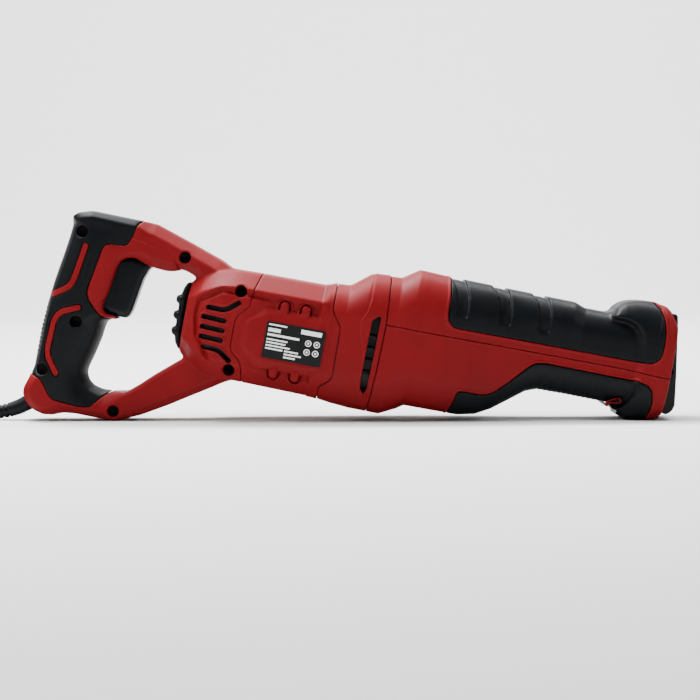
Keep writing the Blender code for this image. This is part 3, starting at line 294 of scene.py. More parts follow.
# The mains lead, in millimetres of the row frame
CORD_RADIUS = 3.5
GUARD_ROUTE = [(-235.0, 13.2), (-243.0, 9.4), (-253.0, 6.6), (-265.0, 5.3), (-279.2, 4.9)]
LEAD_ROUTE = [(-284.5, -0.1), (-289.5, -0.6), (-297.5, -2.7), (-308.0, -5.5)]
COIL_CENTRE = (-332.0, 38.7)
COLUMNS = (49.0, 41.0, 33.0)  # radius of the coil's turns, outermost first
LAYERS = (3.8, 11.05, 18.3, 25.7)
PLUG_CENTRE = (-324.0, 66.0)
PLUG_BASE = 22.8
PLUG_SIZE = (46.0, 50.0, 18.0)
COIL_START = -75.0  # degrees round the coil where the lead joins it
GUARD_RADII = (5.7, 4.4)
GUARD_SIDES = 28
GUARD_RIBS_FROM = 0.34  # share of its length that is plain
GUARD_RIB_DEPTH = 0.75
GUARD_RIB_PITCH = 0.0038  # metres

RED = (0.15, 0.0036, 0.0056)

# The camera, in metres and degrees
LENS = 105.5
CAMERA_AIM = (0.0002, 0.0, 0.0505)
CAMERA_ELEVATION = 3.0
CAMERA_DISTANCE = 1.5
CAMERA_ROLL = -0.17


# ---------------------------------------------------------------- fields

def smooth_max(a, b, radius):
    """The intersection of two fields, with its edge rounded."""
    overlap = np.maximum(radius - np.abs(a - b), 0.0)
    return np.maximum(a, b) + overlap * overlap * (0.25 / radius)


def smooth_min(a, b, radius):
    """The union of two fields, with a fillet where they meet."""
    overlap = np.maximum(radius - np.abs(a - b), 0.0)
    return np.minimum(a, b) - overlap * overlap * (0.25 / radius)


def carve(field, tool, radius=0.8):
    return smooth_max(field, -tool, radius)


def chamfered(a, b, size, radius):
    """The intersection of two fields with a flat chamfer of that size, its edges rounded."""
    edge = (a + b + size) * math.sqrt(0.5)
    return smooth_max(smooth_max(a, b, 1.0), edge, radius)


def line_distance(x, z, points):
    """The distance to a line through points in the side view, squared."""
    best = np.inf
    for (ax, az), (bx, bz) in zip(points, points[1:]):
        ex, ez = bx - ax, bz - az
        wx, wz = x - ax, z - az
        t = np.clip((wx * ex + wz * ez) / (ex * ex + ez * ez), 0.0, 1.0)
        best = np.minimum(best, (wx - ex * t) ** 2 + (wz - ez * t) ** 2)
    return np.sqrt(best).astype(np.float32)


def stroke(x, z, points, radius):
    """A thick line in the side view, with round ends."""
    return line_distance(x, z, points) - radius


def polygon(x, z, points):
    """The signed distance to a polygon in the side view."""
    closed = points + points[:1]
    inside = np.zeros(np.broadcast(x, z).shape, bool)
    for (ax, az), (bx, bz) in zip(closed, closed[1:]):
        if az != bz:
            inside ^= ((az > z) != (bz > z)) & (x < (bx - ax) * (z - az) / (bz - az) + ax)
    return np.where(inside, -1.0, 1.0).astype(np.float32) * line_distance(x, z, closed)


def soften(field, radius):
    """Rounds the corners of a side-view field, by averaging it over a small square."""
    reach = max(1, round(radius / STEP))
    width = 2 * reach + 1
    for axis in (0, 2):
        room = [(reach, reach) if k == axis else (0, 0) for k in range(3)]
        total = np.cumsum(np.pad(field, room, "edge"), axis=axis, dtype=np.float64)
        total = np.insert(total, 0, 0.0, axis=axis)
        high = np.take(total, range(width, total.shape[axis]), axis=axis)
        low = np.take(total, range(0, total.shape[axis] - width), axis=axis)
        field = ((high - low) / width).astype(np.float32)
    return field


def outline(x, z, points, radius=1.0):
    return soften(polygon(x, z, points), radius)


def disc(x, z, centre, radius):
    return np.hypot(x - centre[0], z - centre[1]) - radius


def block(x, y, z, low, high, radius=0.6):
    """A box with slightly rounded edges."""
    sides = [np.maximum(a - v, v - b) for v, a, b in zip((x, y, z), low, high)]
    return smooth_max(smooth_max(sides[0], sides[2], radius), sides[1], radius)


def ramp(value, start, end):
    """From 0 at start to 1 at end, easing at both."""
    t = np.clip((value - start) / (end - start), 0.0, 1.0)
    return t * t * (3.0 - 2.0 * t)


def profile(x, stations, column, blur=0.6):
    """A station value along x, with the corners between straight runs softened."""
    places = [station[0] for station in stations]
    values = [station[column] for station in stations]
    shifts = np.linspace(-1.0, 1.0, 9)
    return sum(np.interp(x + s * blur, places, values) for s in shifts) / len(shifts)


def crowned(x, y, z, field):
    """The motor housing's flat shoulders, which end in a ledge over its side."""
    blur = 0.6 + 5.0 * ramp(x, -112.0, -124.0)
    top, bottom, half = (profile(x, BODY, k, blur) for k in (1, 2, 3))
    rise, run = CROWN
    normal = math.hypot(rise, run)
    wide = np.abs(y)
    box = smooth_max(smooth_max(wide - half, z - top, 1.0), bottom - z, 1.0)
    edges = np.maximum(z - top, bottom - z) + rise
    shoulder = (rise * (wide - half) + run * edges) / normal
    share = ramp(x, -60.0, -66.5)
    return (field + (smooth_max(box, shoulder, 1.6) - field) * share).astype(np.float32)


def tube_section(x, y, z, stations, blur=0.6):
    """A tube whose section is a box with very round corners and flat sides."""
    top, bottom, half = (profile(x, stations, k, blur) for k in (1, 2, 3))
    middle, rise = (top + bottom) / 2, (top - bottom) / 2
    grow = 1.035
    across = np.abs(y) / (half * grow)
    up = np.abs(z - middle) / (rise * grow)
    reach = np.cbrt(across**3 + up**3) + 1e-6
    slope = np.hypot(across**2 / (half * grow), up**2 / (rise * grow)) / reach**2 + 1e-6
    field = ((reach - 1.0) / slope).astype(np.float32)
    field = smooth_max(field, (np.abs(y) - half).astype(np.float32), 1.0)
    return smooth_max(field, (np.abs(z - middle) - rise).astype(np.float32), 1.0)


def capped(field, x, low, high, radius=2.0):
    return smooth_max(field, np.maximum(low - x, x - high).astype(np.float32), radius)


def ahead_of(x, z, seam):
    """Signed distance to a zigzag seam, negative ahead of it."""
    return polygon(x, z, seam + [(400.0, -FAR), (400.0, FAR)])


# ---------------------------------------------------------------- meshes

def tool_matrix(frame):
    """From the tool frame, in millimetres, to the row frame, in metres."""
    joints = {joint["name"]: joint for joint in frame["joints"]}
    along = Vector(joints["plunger_stroke"]["axis"])
    turn = Matrix.Rotation(math.atan2(-along.z, along.x), 4, "Y")
    scaled = turn @ Matrix.Scale(MM, 4)
    shift = Vector(joints["shoe_tilt"]["pos_m"]) - scaled @ Vector(SHOE_PIVOT)
    return Matrix.Translation(shift) @ scaled


def sample(field, spots):
    """The field between its grid points, at places in grid units."""
    base = np.clip(np.floor(spots).astype(int), 0, np.array(field.shape) - 2)
    share = np.clip(spots - base, 0.0, 1.0)
    total = np.zeros(len(spots))
    for corner in np.ndindex(2, 2, 2):
        weight = np.prod(np.where(corner, share, 1.0 - share), axis=1)
        spot = base + corner
        total += weight * field[spot[:, 0], spot[:, 1], spot[:, 2]]
    return total


def slopes(field, spots, reach=0.7):
    """The unit slope of the field at places in grid units."""
    columns = []
    for axis in range(3):
        step = np.zeros(3)
        step[axis] = reach
        columns.append(sample(field, spots + step) - sample(field, spots - step))
    slope = np.stack(columns, axis=1)
    return slope / np.maximum(np.linalg.norm(slope, axis=1, keepdims=True), 1e-9)


def link(name, data):
    made = bpy.data.objects.new(name, data)
    bpy.context.scene.collection.objects.link(made)
    return made


def mesh_from(points, faces):
    mesh = bpy.data.meshes.new("made")
    mesh.vertices.add(len(points))
    mesh.vertices.foreach_set("co", np.ascontiguousarray(points, np.float32).ravel())
    mesh.loops.add(faces.size)
    mesh.loops.foreach_set("vertex_index", np.ascontiguousarray(faces, np.int32).ravel())
    mesh.polygons.add(len(faces))
    starts = np.arange(0, faces.size, faces.shape[1], dtype=np.int32)
    mesh.polygons.foreach_set("loop_start", starts)
    mesh.update(calc_edges=True)
    return mesh


def vertex_places(mesh):
    spots = np.empty(len(mesh.vertices) * 3, np.float32)
    mesh.vertices.foreach_get("co", spots)
    return spots.reshape(-1, 3).astype(np.float64)


def thinned(mesh, share):
    """The mesh with fewer faces, mostly where it is flat."""
    thing = link("thinned", mesh)
    thing.modifiers.new("thin", "DECIMATE").ratio = share
    graph = bpy.context.evaluated_depsgraph_get()
    made = bpy.data.meshes.new_from_object(thing.evaluated_get(graph))
    bpy.data.objects.remove(thing)
    return made


def field_piece(name, matrix, low, high, make, keep=0.3):
    """Meshes the field that make(x, y, z) gives inside a box of the tool frame."""
    axes = [np.arange(a, b + STEP, STEP, dtype=np.float32) for a, b in zip(low, high)]
    x, y, z = np.meshgrid(*axes, indexing="ij", sparse=True)
    field = np.broadcast_to(make(x, y, z), [len(a) for a in axes])
    field = np.pad(np.clip(field, -4.0, 4.0).astype(np.float32), 1, constant_values=STEP)
    field = np.ascontiguousarray(field)
    grid = vdb.FloatGrid(STEP)
    grid.copyFromArray(field)
    points, faces = grid.convertToQuads(0.0)
    mesh = thinned(mesh_from(points, faces[:, ::-1]), keep)
    spots = vertex_places(mesh)
    normals = slopes(field, spots) @ np.array(matrix.to_3x3().normalized()).T
    places = (spots - 1.0) * STEP + np.array(low)
    world = places @ np.array(matrix.to_3x3()).T + np.array(matrix.translation)
    mesh.vertices.foreach_set("co", world.astype(np.float32).ravel())
    mesh.update()
    if facing_share(mesh, normals) < 0:
        mesh.flip_normals()
    mesh.name = name
    mesh.shade_smooth()
    mesh.normals_split_custom_set_from_vertices(normals.tolist())
    return link(name, mesh)


def facing_share(mesh, normals):
    """Above 0 if the faces point the way the field rises."""
    count = len(mesh.polygons)
    facing = np.empty(count * 3, np.float32)
    mesh.polygons.foreach_get("normal", facing)
    starts = np.empty(count, np.int32)
    mesh.polygons.foreach_get("loop_start", starts)
    corners = np.empty(len(mesh.loops), np.int32)
    mesh.loops.foreach_get("vertex_index", corners)
    return float(np.sum(facing.reshape(-1, 3) * normals[corners[starts]]))


def clothe(thing, finish, slot, body, *nodes):
    """Gives a piece its finish and its body, and hides the CAD nodes that it stands for."""
    thing.data.materials.clear()
    thing.data.materials.append(finish)
    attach(thing, body)
    if nodes:
        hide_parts(*nodes)
    return thing


# ---------------------------------------------------------------- the handle

def bar_field(x, y, z):
    """The D handle's loop, rounder where the hand holds it."""
    half = np.interp(x, *zip(*HANDLE_HALF)).astype(np.float32)
    side = np.abs(y) - half
    rim = outline(x, z, HANDLE_OUTLINE, 1.4)
    eye = -outline(x, z, HAND_OPENING, 1.6)
    held = ramp(x, -214.0, -236.0) * ramp(z, -72.0, -56.0) * ramp(z, 57.0, 46.0)
    palm = ramp(x, -196.0, -214.0) * ramp(z, -8.0, -22.0)
    arm = ramp(x, -212.0, -198.0) * ramp(z, 8.0, 16.0)
    outer = chamfered(rim, side, 5.2 + 3.4 * held + 3.2 * arm, 1.0 + 7.0 * held)
    inner = chamfered(eye, side, 2.6 + 7.4 * palm + 3.6 * arm, 1.0 + 7.0 * palm)
    return smooth_max(outer, inner, 2.0).astype(np.float32)


def side_limit(x, z):
    """How far the motor housing's side stands out, with its ledge and its raised vent plate."""
    relief = outline(x, z, SIDE_RELIEF, 0.5)
    plate = outline(x, z, VENT_PLATE, 0.5)
    depth = RELIEF_DEPTH * np.clip(-relief / 2.6, 0.0, 1.0)
    rise = (RELIEF_DEPTH - 0.4) * np.clip(0.3 - plate / 1.4, 0.0, 1.0)
    raise_plate = rise * ramp(x, -101.0, -116.0)
    return profile(x, BODY, 3) - depth + raise_plate


def vent_cut(x, y, z, field):
    """The vents, each a slot with a raised lip."""
    depth = side_limit(x, z)
    for points in VENTS:
        slot = stroke(x, z, points, VENT_RADIUS)
        lip = smooth_max(np.abs(slot - 0.6) - 0.7, np.abs(y) - (depth + 0.55), 0.9)
        lip = np.maximum(lip, depth - 2.0 - np.abs(y))
        field = smooth_min(field, lip.astype(np.float32), 0.6)
        through = np.maximum(slot, 15.0 - np.abs(y))
        field = carve(field, through.astype(np.float32), 0.5)
    return field


def shell_base(x, y, z):
    """The handle with the rear of the body, before their details."""
    body = crowned(x, y, z, tube_section(x, y, z, BODY))
    return capped(body, x, BODY[0][0], FAR, 2.4), bar_field(x, y, z)


def handle_shell(x, y, z, side):
    body, bar = shell_base(x, y, z)
    whole = smooth_min(body, bar, 1.6)
    hollow = smooth_min(
        capped(tube_section(x, y, z, HOLLOW), x, HOLLOW[0][0], FAR), bar + WALL, 2.0
    )
    detailed = smooth_max(body, (np.abs(y) - side_limit(x, z)).astype(np.float32), 0.7)
    arch = smooth_max(outline(x, z, ARCH), bar - 0.8, 0.8)
    detailed = smooth_min(detailed, smooth_min(bar, arch.astype(np.float32), 0.4), 1.6)
    shell = smooth_max(detailed, -hollow, 0.5)
    for place_x, place_z, face in SCREWS:
        post = np.maximum(disc(x, z, (place_x, place_z), BOSS), np.abs(y) - (face - 2.2))
        shell = smooth_min(shell, np.maximum(post, whole).astype(np.float32), 0.5)
    shell = vent_cut(x, y, z, shell)
    region = outline(x, z, GRIP_REGION)
    skin = np.maximum(region - GAP, -(bar + SKIN + GAP))
    for points in STRIPES:
        skin = smooth_max(skin, -stroke(x, z, points, STRIPE_RADIUS), 0.3)
    shell = carve(shell, skin.astype(np.float32), 0.4)
    shell = carve(shell, block(x, y, z, *TRIGGER_GAP), 0.8)
    shell = carve(shell, cord_hole(x, y, z), 0.8)
    shell = drilled(x, y, z, shell, side, SCREWS)
    behind = -ahead_of(x, z, SEAM_REAR) + SEAM_GAP
    shell = smooth_max(shell, behind.astype(np.float32), 0.4)
    return smooth_max(shell, (SEAM_GAP - side * y).astype(np.float32), 0.4)


def cord_hole(x, y, z):
    """The round way out for the cord guard, on a slant through the handle's heel."""
    start, end = np.array((-262.0, -81.0)), np.array((-285.0, -94.0))
    way = (end - start) / np.linalg.norm(end - start)
    across = (x - start[0]) * way[1] - (z - start[1]) * way[0]
    along = (x - start[0]) * way[0] + (z - start[1]) * way[1]
    return np.maximum(np.hypot(across, y) - 6.1, -along).astype(np.float32)


def drilled(x, y, z, field, side, screws, soft=False):
    """Counterbores on the right, and the lock button's hole on the left."""
    for place_x, place_z, face in screws:
        spot = disc(x, z, (place_x, place_z), 0.0)
        field = np.maximum(field, -np.maximum(spot - 2.0, side * y - face + 5.0))
        if side < 0:
            wide = SCREW_BORE + (BORE_SLEEVE + GAP if place_x < GRIP_SCREWS and not soft else 0.0)
            bore = np.maximum(spot - wide, SCREW_FLOOR - np.abs(y))
            field = carve(field, bore.astype(np.float32), 0.9)
    if side > 0:
        spot = disc(x, z, BUTTON_PLACE, BUTTON_RADIUS + 0.4)
        field = carve(field, np.maximum(spot, 5.0 - y).astype(np.float32), 0.8)
        spot = np.maximum(spot - 1.6, y - 14.4)
        field = carve(field, spot.astype(np.float32), 0.4)
    return field


def grip_skin(x, y, z, side):
    """The soft grip, open where the housing's red stripes come through."""
    bar = bar_field(x, y, z)
    ribs = 0.28 * np.sin(z * (2 * math.pi / 3.2)) * ramp(x, -262.0, -264.5)
    ribs = ribs * ramp(z, -49.0, -46.0) * ramp(z, -12.0, -16.0)
    region = outline(x, z, GRIP_REGION)
    skin = smooth_max(bar + (0.28 - ribs) * ramp(x, -262.0, -264.5), region, 1.0)
    skin = smooth_max(skin, -(bar + SKIN), 0.3)
    for points in STRIPES:
        skin = carve(skin, stroke(x, z, points, STRIPE_RADIUS + GAP), 0.8)
    skin = carve(skin, block(x, y, z, *TRIGGER_GAP), 0.8)
    rear_screws = [screw for screw in SCREWS if screw[0] < GRIP_SCREWS]
    for place_x, place_z, _ in rear_screws if side < 0 else []:
        sleeve = disc(x, z, (place_x, place_z), SCREW_BORE + BORE_SLEEVE)
        sleeve = np.maximum(np.maximum(sleeve, bar + 0.6), SCREW_FLOOR + GAP - np.abs(y))
        skin = np.minimum(skin, sleeve)
    skin = drilled(x, y, z, skin, side, rear_screws, soft=True)
    return smooth_max(skin.astype(np.float32), (SEAM_GAP - side * y).astype(np.float32), 0.4)


def trigger_field(x, y, z):
    """The trigger, with a hollow down its front for the fingers."""
    flat = outline(x, z, TRIGGER, 1.2)
    dish = 1.0 * np.cos(np.clip(np.abs(y) / TRIGGER_HALF, 0.0, 1.0) * math.pi / 2)
    front = ramp(x, -208.0, -200.0)
    body = chamfered(flat + dish * front, np.abs(y) - TRIGGER_HALF, 2.2, 2.2)
    hollow = np.maximum(flat + 2.0, np.abs(y) - TRIGGER_HALF + 2.0)
    body = carve(body, np.maximum(hollow, x + 216.0), 0.4)
    return carve(body, block(x, y, z, *SWITCH_ROOM), 0.4)


def bumper_field(x, y, z):
    edge = outline(x, z, BUMPER, 0.5)
    bumper = smooth_max(edge, np.abs(y) - BUMPER_HALF, 5.0)
    hole = np.hypot(y, z - MOTOR_Z) - 3.2
    return carve(bumper, hole, 0.6)


def build_handle(matrix, looks):
    for name, side in (("right", -1), ("left", 1)):
        low, high = (-275.0, -41.0, -96.0), (-111.0, 41.0, 64.0)
        low, high = (low, (high[0], 0.8, high[2])) if side < 0 else ((low[0], -0.8, low[2]), high)
        shell = field_piece(
            f"shell_{name}", matrix, low, high, lambda x, y, z: handle_shell(x, y, z, side)
        )
        clothe(shell, looks["red_plastic"], "red_plastic", "saw", f"handle_shell_{name}")
        low = (-271.5, -20.0 if side < 0 else -0.8, -84.0)
        high = (-203.0, 0.8 if side < 0 else 20.0, 62.0)
        grip = field_piece(
            f"grip_{name}", matrix, low, high, lambda x, y, z: grip_skin(x, y, z, side)
        )
        clothe(grip, looks["black_rubber"], "black_rubber", "saw", f"grip_overmould_{name}")
    low, high = (-235.0, -12.0, -12.0), (-194.0, 12.0, 34.0)
    trigger = field_piece("trigger_blade", matrix, low, high, trigger_field, 0.4)
    clothe(trigger, looks["black_plastic"], "black_plastic", "trigger", "trigger")
    low, high = (-175.0, -20.0, -30.0), (-162.0, 20.0, 25.0)
    bumper = field_piece("ribbed_bumper", matrix, low, high, bumper_field, 0.5)
    clothe(bumper, looks["black_rubber"], "black_rubber", "saw", "rear_bumper")


# ---------------------------------------------------------------- the housings

def panel_field(x, y, z):
    """The hexagonal label panel, with a wide bevel all round."""
    wide, deep = PANEL_BEVEL
    edge = outline(x, z, SIDE_PANEL, 0.5)
    slope = deep / wide
    bevel = (np.abs(y) - (PANEL_FACE - deep) + slope * edge) / math.hypot(1.0, slope)
    panel = smooth_max(bevel, np.abs(y) - PANEL_FACE, 0.5)
    return smooth_max(panel, edge, 0.5)


def tab_details(x, y, z, field):
    """The four small tabs over the panel's edges, each in an arched recess with a raised rim."""
    wall = profile(x, BODY, 3) - RELIEF_DEPTH
    for tab_x, way in TABS:
        near, far = (14.0, 18.2) if way > 0 else (-28.0, -30.6)
        line = [(tab_x, near), (tab_x, far)]
        arch = stroke(x, z, line, 4.9)
        outside = np.maximum(way * (near + 0.4 * way - z), arch)
        rim = smooth_max(np.abs(arch) - 0.6, np.abs(y) - (wall + 1.3), 0.7)
        rim = np.maximum(rim, way * (near + way - z))
        rim = np.maximum(rim, wall - 1.5 - np.abs(y))
        field = smooth_min(field, rim, 0.5)
        recess = np.maximum(outside + 0.7, wall - 1.2 - np.abs(y))
        field = carve(field, recess, 0.5)
        tab_line = [(tab_x, near - 0.2 * way), (tab_x, far + 0.2 * way)]
        tab = stroke(x, z, tab_line, 3.2)
        tab = smooth_max(tab, np.abs(y) - (wall + 3.0), 2.6)
        tab = np.maximum(tab, wall - 2.0 - np.abs(y))
        field = smooth_min(field, tab, 0.3)
    return field


def seam_tongue(x, y, z, grow=0.0):
    """A tongue behind the middle joint, so that no light shows through it."""
    body = tube_section(x, y, z, BODY)
    inside = tube_section(x, y, z, HOLLOW) - 0.2
    tongue = np.maximum(body + 1.3, -inside)
    return np.maximum(tongue, line_distance(x, z, SEAM_MIDDLE) - 1.6) - grow


def motor_field(x, y, z):
    body = crowned(x, y, z, tube_section(x, y, z, BODY))
    field = smooth_max(body, np.abs(y) - side_limit(x, z), 0.5)
    collar = np.maximum(body - 0.5, np.abs(x + 63.4) - 4.0)
    field = smooth_min(field, collar, 0.8)
    field = smooth_min(field, np.maximum(panel_field(x, y, z), 30.0 - np.abs(y)), 0.5)
    field = tab_details(x, y, z, field)
    field = smooth_max(field, -tube_section(x, y, z, HOLLOW), 0.5)
    field = smooth_max(field, ahead_of(x, z, SEAM_REAR) + SEAM_GAP, 0.4)
    field = smooth_max(field, -ahead_of(x, z, SEAM_MIDDLE) + SEAM_GAP, 0.4)
    return carve(field, seam_tongue(x, y, z, 0.15), 0.3)


def middle_field(x, y, z):
    body = tube_section(x, y, z, BODY)
    arc = np.interp(z, [-50.0, 8.0, 18.0, 26.0, 34.0, 60.0], [-20.0, -36.5, -38.5, -34.8, -33.6, -33.8])
    band = np.maximum(body - 0.7, arc - x)
    field = smooth_min(body, band.astype(np.float32), 0.8)
    field = smooth_max(field, -tube_section(x, y, z, HOLLOW), 0.5)
    outlet = outline(x, z, OUTLET, 0.6)
    lip = smooth_max(np.abs(outlet - 0.4) - 0.9, body - 0.9, 0.7)
    lip = np.maximum(np.maximum(lip, -body - 2.0), 30.0 - np.abs(y))
    field = smooth_min(field, lip, 0.6)
    field = carve(field, np.maximum(outlet, 15.0 - np.abs(y)), 0.5)
    field = smooth_max(field, ahead_of(x, z, SEAM_MIDDLE) + SEAM_GAP, 0.4)
    field = carve(field, seam_tongue(x, y, z, 0.15), 0.3)
    return smooth_max(field, -ahead_of(x, z, SEAM_FRONT) + SEAM_GAP, 0.4)


def shade_lining_field(x, y, z):
    """A thin black sheet just inside the housings, behind the vents and the joints: painted shade where
    they let one see in.
    """
    room = capped(tube_section(x, y, z, HOLLOW), x, HOLLOW[0][0] + 1.0, 150.0, 1.0) + 0.3
    shade_sheet = np.maximum(np.maximum(room, -(room + SHADE_SHEET_DEPTH)), x - SHADE_SHEET_FRONT)
    along_seam = np.abs(z - SEAM_Z) - 3.5
    shade_sheet = np.maximum(shade_sheet, np.maximum(-152.0 - x, np.minimum(x + 18.0, along_seam)))
    for place_x, place_z, _ in SCREWS[-2:]:
        shade_sheet = carve(shade_sheet, disc(x, z, (place_x, place_z), BOSS + 0.5), 0.3)
    for rib_z in OUTLET_RIBS:
        rib = block(x, np.abs(y), z, (-31.0, 32.8, rib_z - 0.9), (-25.0, 35.4, rib_z + 0.9), 0.5)
        shade_sheet = smooth_min(shade_sheet, rib, 0.3)
    return np.minimum(shade_sheet, seam_tongue(x, y, z))


def build_housings(matrix, looks):
    low, high = (-154.0, -37.5, -45.5), (151.0, 37.5, 57.0)
    # A black sheet inside the housings paints the shade seen through the vents and joints
    shade_sheet = field_piece("shade_lining", matrix, low, high, shade_lining_field, 0.15)
    clothe(shade_sheet, looks["black_plastic"], "black_plastic", "saw")
    low, high = (-129.0, -40.5, -46.0), (-50.0, 40.5, 43.0)
    motor = field_piece("motor_shell", matrix, low, high, motor_field)
    clothe(motor, looks["red_plastic"], "red_plastic", "saw", "motor_housing")
    low, high = (-62.0, -40.5, -49.0), (-19.0, 40.5, 56.0)
    middle = field_piece("middle_shell", matrix, low, high, middle_field)
    clothe(middle, looks["red_plastic"], "red_plastic", "saw", "mid_housing")


# ---------------------------------------------------------------- the front

def front_outside(x, y, z):
    """The front covers' outside, with the nose's flange and the ring that stands proud of it."""
    barrel = tube_section(x, y, z, [s for s in BODY if s[0] < BARREL_END] + [BARREL])
    flange = tube_section(x, y, z, FLANGE_REAR + [s for s in BODY if s[0] > FLANGE_REAR[-1][0]])
    flange = smooth_max(flange, outline(x, z, FLANGE, 0.8), 4.0)
    fillet = 6.5 - 3.5 * ramp(z, 10.0, -4.0)
    body = capped(smooth_min(barrel, flange, fillet), x, -FAR, BODY[-1][0], 1.6)
    ring = np.maximum(body - 0.5, 174.4 - x)
    return smooth_min(body, ring, 0.6)


def front_room(x, y, z):
    room = capped(tube_section(x, y, z, HOLLOW), x, -FAR, 161.0, 1.0)
    room = smooth_min(room, block(x, y, z, *MOUTH), 0.5)
    return smooth_min(room, block(x, y, z, *SHOE_NOTCH), 0.5)


def cover_field(x, y, z, upper):
    outside = front_outside(x, y, z)
    region = outline(x, z, BOOT_UPPER_REGION if upper else BOOT_LOWER_REGION)
    bead = np.maximum(np.abs(region - 0.9) - 0.9, outside - 0.45)
    bead = np.maximum(bead, -outside - 2.0)
    field = smooth_min(outside, bead, 0.8)
    field = carve(field, np.maximum(region - GAP, -(outside + BOOT_SKIN + GAP)), 0.4)
    seam = SEAM_Z - 1.1 * ramp(x, 150.0, 182.0)
    if upper:
        field = smooth_max(field, seam + SEAM_GAP - z, 0.4)
    else:
        lip = np.maximum(np.maximum(np.abs(z - seam + 0.5) - 0.6, outside - 0.35), -outside - 2.0)
        field = smooth_min(field, lip, 0.5)
        field = smooth_max(field, z - seam + SEAM_GAP, 0.4)
        field = lever_room(x, y, z, field)
        notch = block(x, np.abs(y), z, (4.0, 24.0, -40.0), (10.6, 36.5, -34.2), 0.5)
        field = carve(field, notch, 0.4)
    field = smooth_max(field, -front_room(x, y, z), 0.5)
    return smooth_max(field, ahead_of(x, z, SEAM_FRONT) + SEAM_GAP, 0.4)


def lever_room(x, y, z, field):
    """The room that the shoe lock lever needs, at rest and as it swings down."""
    cheeks, bar = FAR, FAR
    for k in range(LEVER_STEPS + 1):
        angle = math.radians(LEVER_SWING * k / LEVER_STEPS)
        cheeks = np.minimum(cheeks, polygon(x, z, [turned(p, LEVER_PIVOT, angle) for p in LEVER]))
        bar = np.minimum(bar, polygon(x, z, [turned(p, LEVER_PIVOT, angle) for p in LEVER_BAR]))
    field = carve(field, np.maximum(cheeks - 0.5, LEVER_CHEEK[0] - 0.5 - np.abs(y)), 0.4)
    return carve(field, bar - 0.5, 0.4)


def turned(point, centre, angle):
    dx, dz = point[0] - centre[0], point[1] - centre[1]
    c, s = math.cos(angle), math.sin(angle)
    return (centre[0] + dx * c - dz * s, centre[1] + dx * s + dz * c)


def boot_field(x, y, z, upper):
    outside = front_outside(x, y, z)
    region = outline(x, z, BOOT_UPPER_REGION if upper else BOOT_LOWER_REGION)
    surface = outside - 0.25
    if upper:
        for points in BANDS:
            band = line_distance(x, z, points)
            edge = smooth_max(band - BAND_RADIUS, (BAND_END - z).astype(np.float32), 2.0)
            dome = 0.7 * np.clip(1.0 - (band / BAND_RADIUS) ** 2, 0.0, 1.0)
            share = np.clip(0.2 - edge / 1.3, 0.0, 1.0)
            surface = surface + (1.9 - dome) * share
    else:
        ribs = 0.16 * np.sin(x * (2 * math.pi / 3.6)) * ramp(x, 92.0, 100.0) * ramp(x, 150.0, 142.0)
        surface = surface + 0.1 - ribs * ramp(z, 9.0, 3.0)
    skin = smooth_max(surface, region, 0.9)
    skin = smooth_max(skin, -(outside + BOOT_SKIN), 0.3)
    if not upper:
        skin = lever_room(x, y, z, skin)
    return skin


def lever_field(x, y, z):
    """Two teardrop cheeks with a raised rim, joined by a bar under the nose."""
    wide = np.abs(y)
    flat = outline(x, z, LEVER, 0.5)
    near, far = LEVER_CHEEK
    cheek = smooth_max(flat, np.abs(wide - (near + far) / 2) - (far - near) / 2, 0.7)
    cheek = carve(cheek, flat + LEVER_RIM, 0.4)
    bar = smooth_max(outline(x, z, LEVER_BAR, 0.4), wide - far, 0.6)
    return smooth_min(cheek, bar, 0.6)


def insert_field(x, y, z):
    """The dark insert in each cheek of the lever."""
    near, far = LEVER_CHEEK
    middle, half = (near + far) / 2, (far - near) / 2
    inside = outline(x, z, LEVER, 0.5) + LEVER_RIM + 0.15
    return smooth_max(inside, np.abs(np.abs(y) - middle) - half + 0.5, 0.3)


def shoe_field(x, y, z):
    """The shoe: a bent plate with side flanges, a slot for the blade and two pivot ears."""
    wide = np.abs(y)
    front = [
        (184.4, 64.6), (186.4, 62.6), (187.4, 58.0), (191.6, 32.0), (193.8, 18.0), (195.6, 5.0),
        (196.4, -1.0), (195.4, -5.0), (192.6, -8.2), (190.2, -9.0), (188.0, -8.0), (187.2, -6.0),
        (187.4, 16.0), (187.6, 34.0), (186.0, 52.0), (184.6, 59.0), (183.4, 63.6),
    ]
    solid = outline(x, z, front, 0.4)
    inner = solid + 2.1
    plate = smooth_max(solid, wide - 17.5, 1.6)
    room = np.maximum(inner, wide - 15.4)
    behind = np.maximum(wide - 15.4, x - (195.4 - 0.146 * (z + 1.5) - 2.2 + 0.3))
    behind = np.maximum(behind, np.abs(z - 26.0) - 30.5)
    plate = carve(plate, np.minimum(room, behind), 0.5)
    ear = outline(x, z, [(193.0, 12.0), (178.5, 20.0), (176.8, 27.0), (179.5, 33.5), (190.6, 41.0)])
    ear = smooth_max(ear, np.abs(wide - 13.2) - 1.2, 0.6)
    ear = np.maximum(ear, solid - 20.0)
    field = smooth_min(plate, ear, 0.6)
    slot = smooth_max(wide - 4.5, np.abs(z - 25.0) - 21.0, 3.0)
    field = carve(field, slot, 0.6)
    field = carve(field, disc(x, z, (SHOE_PIVOT[0], SHOE_PIVOT[2]), 2.8), 0.3)
    return arm_room(x, y, z, field)


def arm_room(x, y, z, field):
    """The room that the bracket's arms need behind the shoe, upright and as it tilts."""
    pivot = (SHOE_PIVOT[0], SHOE_PIVOT[2])
    arms = FAR
    for k in range(TILT_STEPS + 1):
        angle = math.radians(SHOE_TILT * k / TILT_STEPS)
        arms = np.minimum(arms, polygon(x, z, [turned(p, pivot, angle) for p in ARM_OUTLINE]))
    return carve(field, np.maximum(arms - 0.5, ARM_INSIDE - np.abs(y)), 0.3)


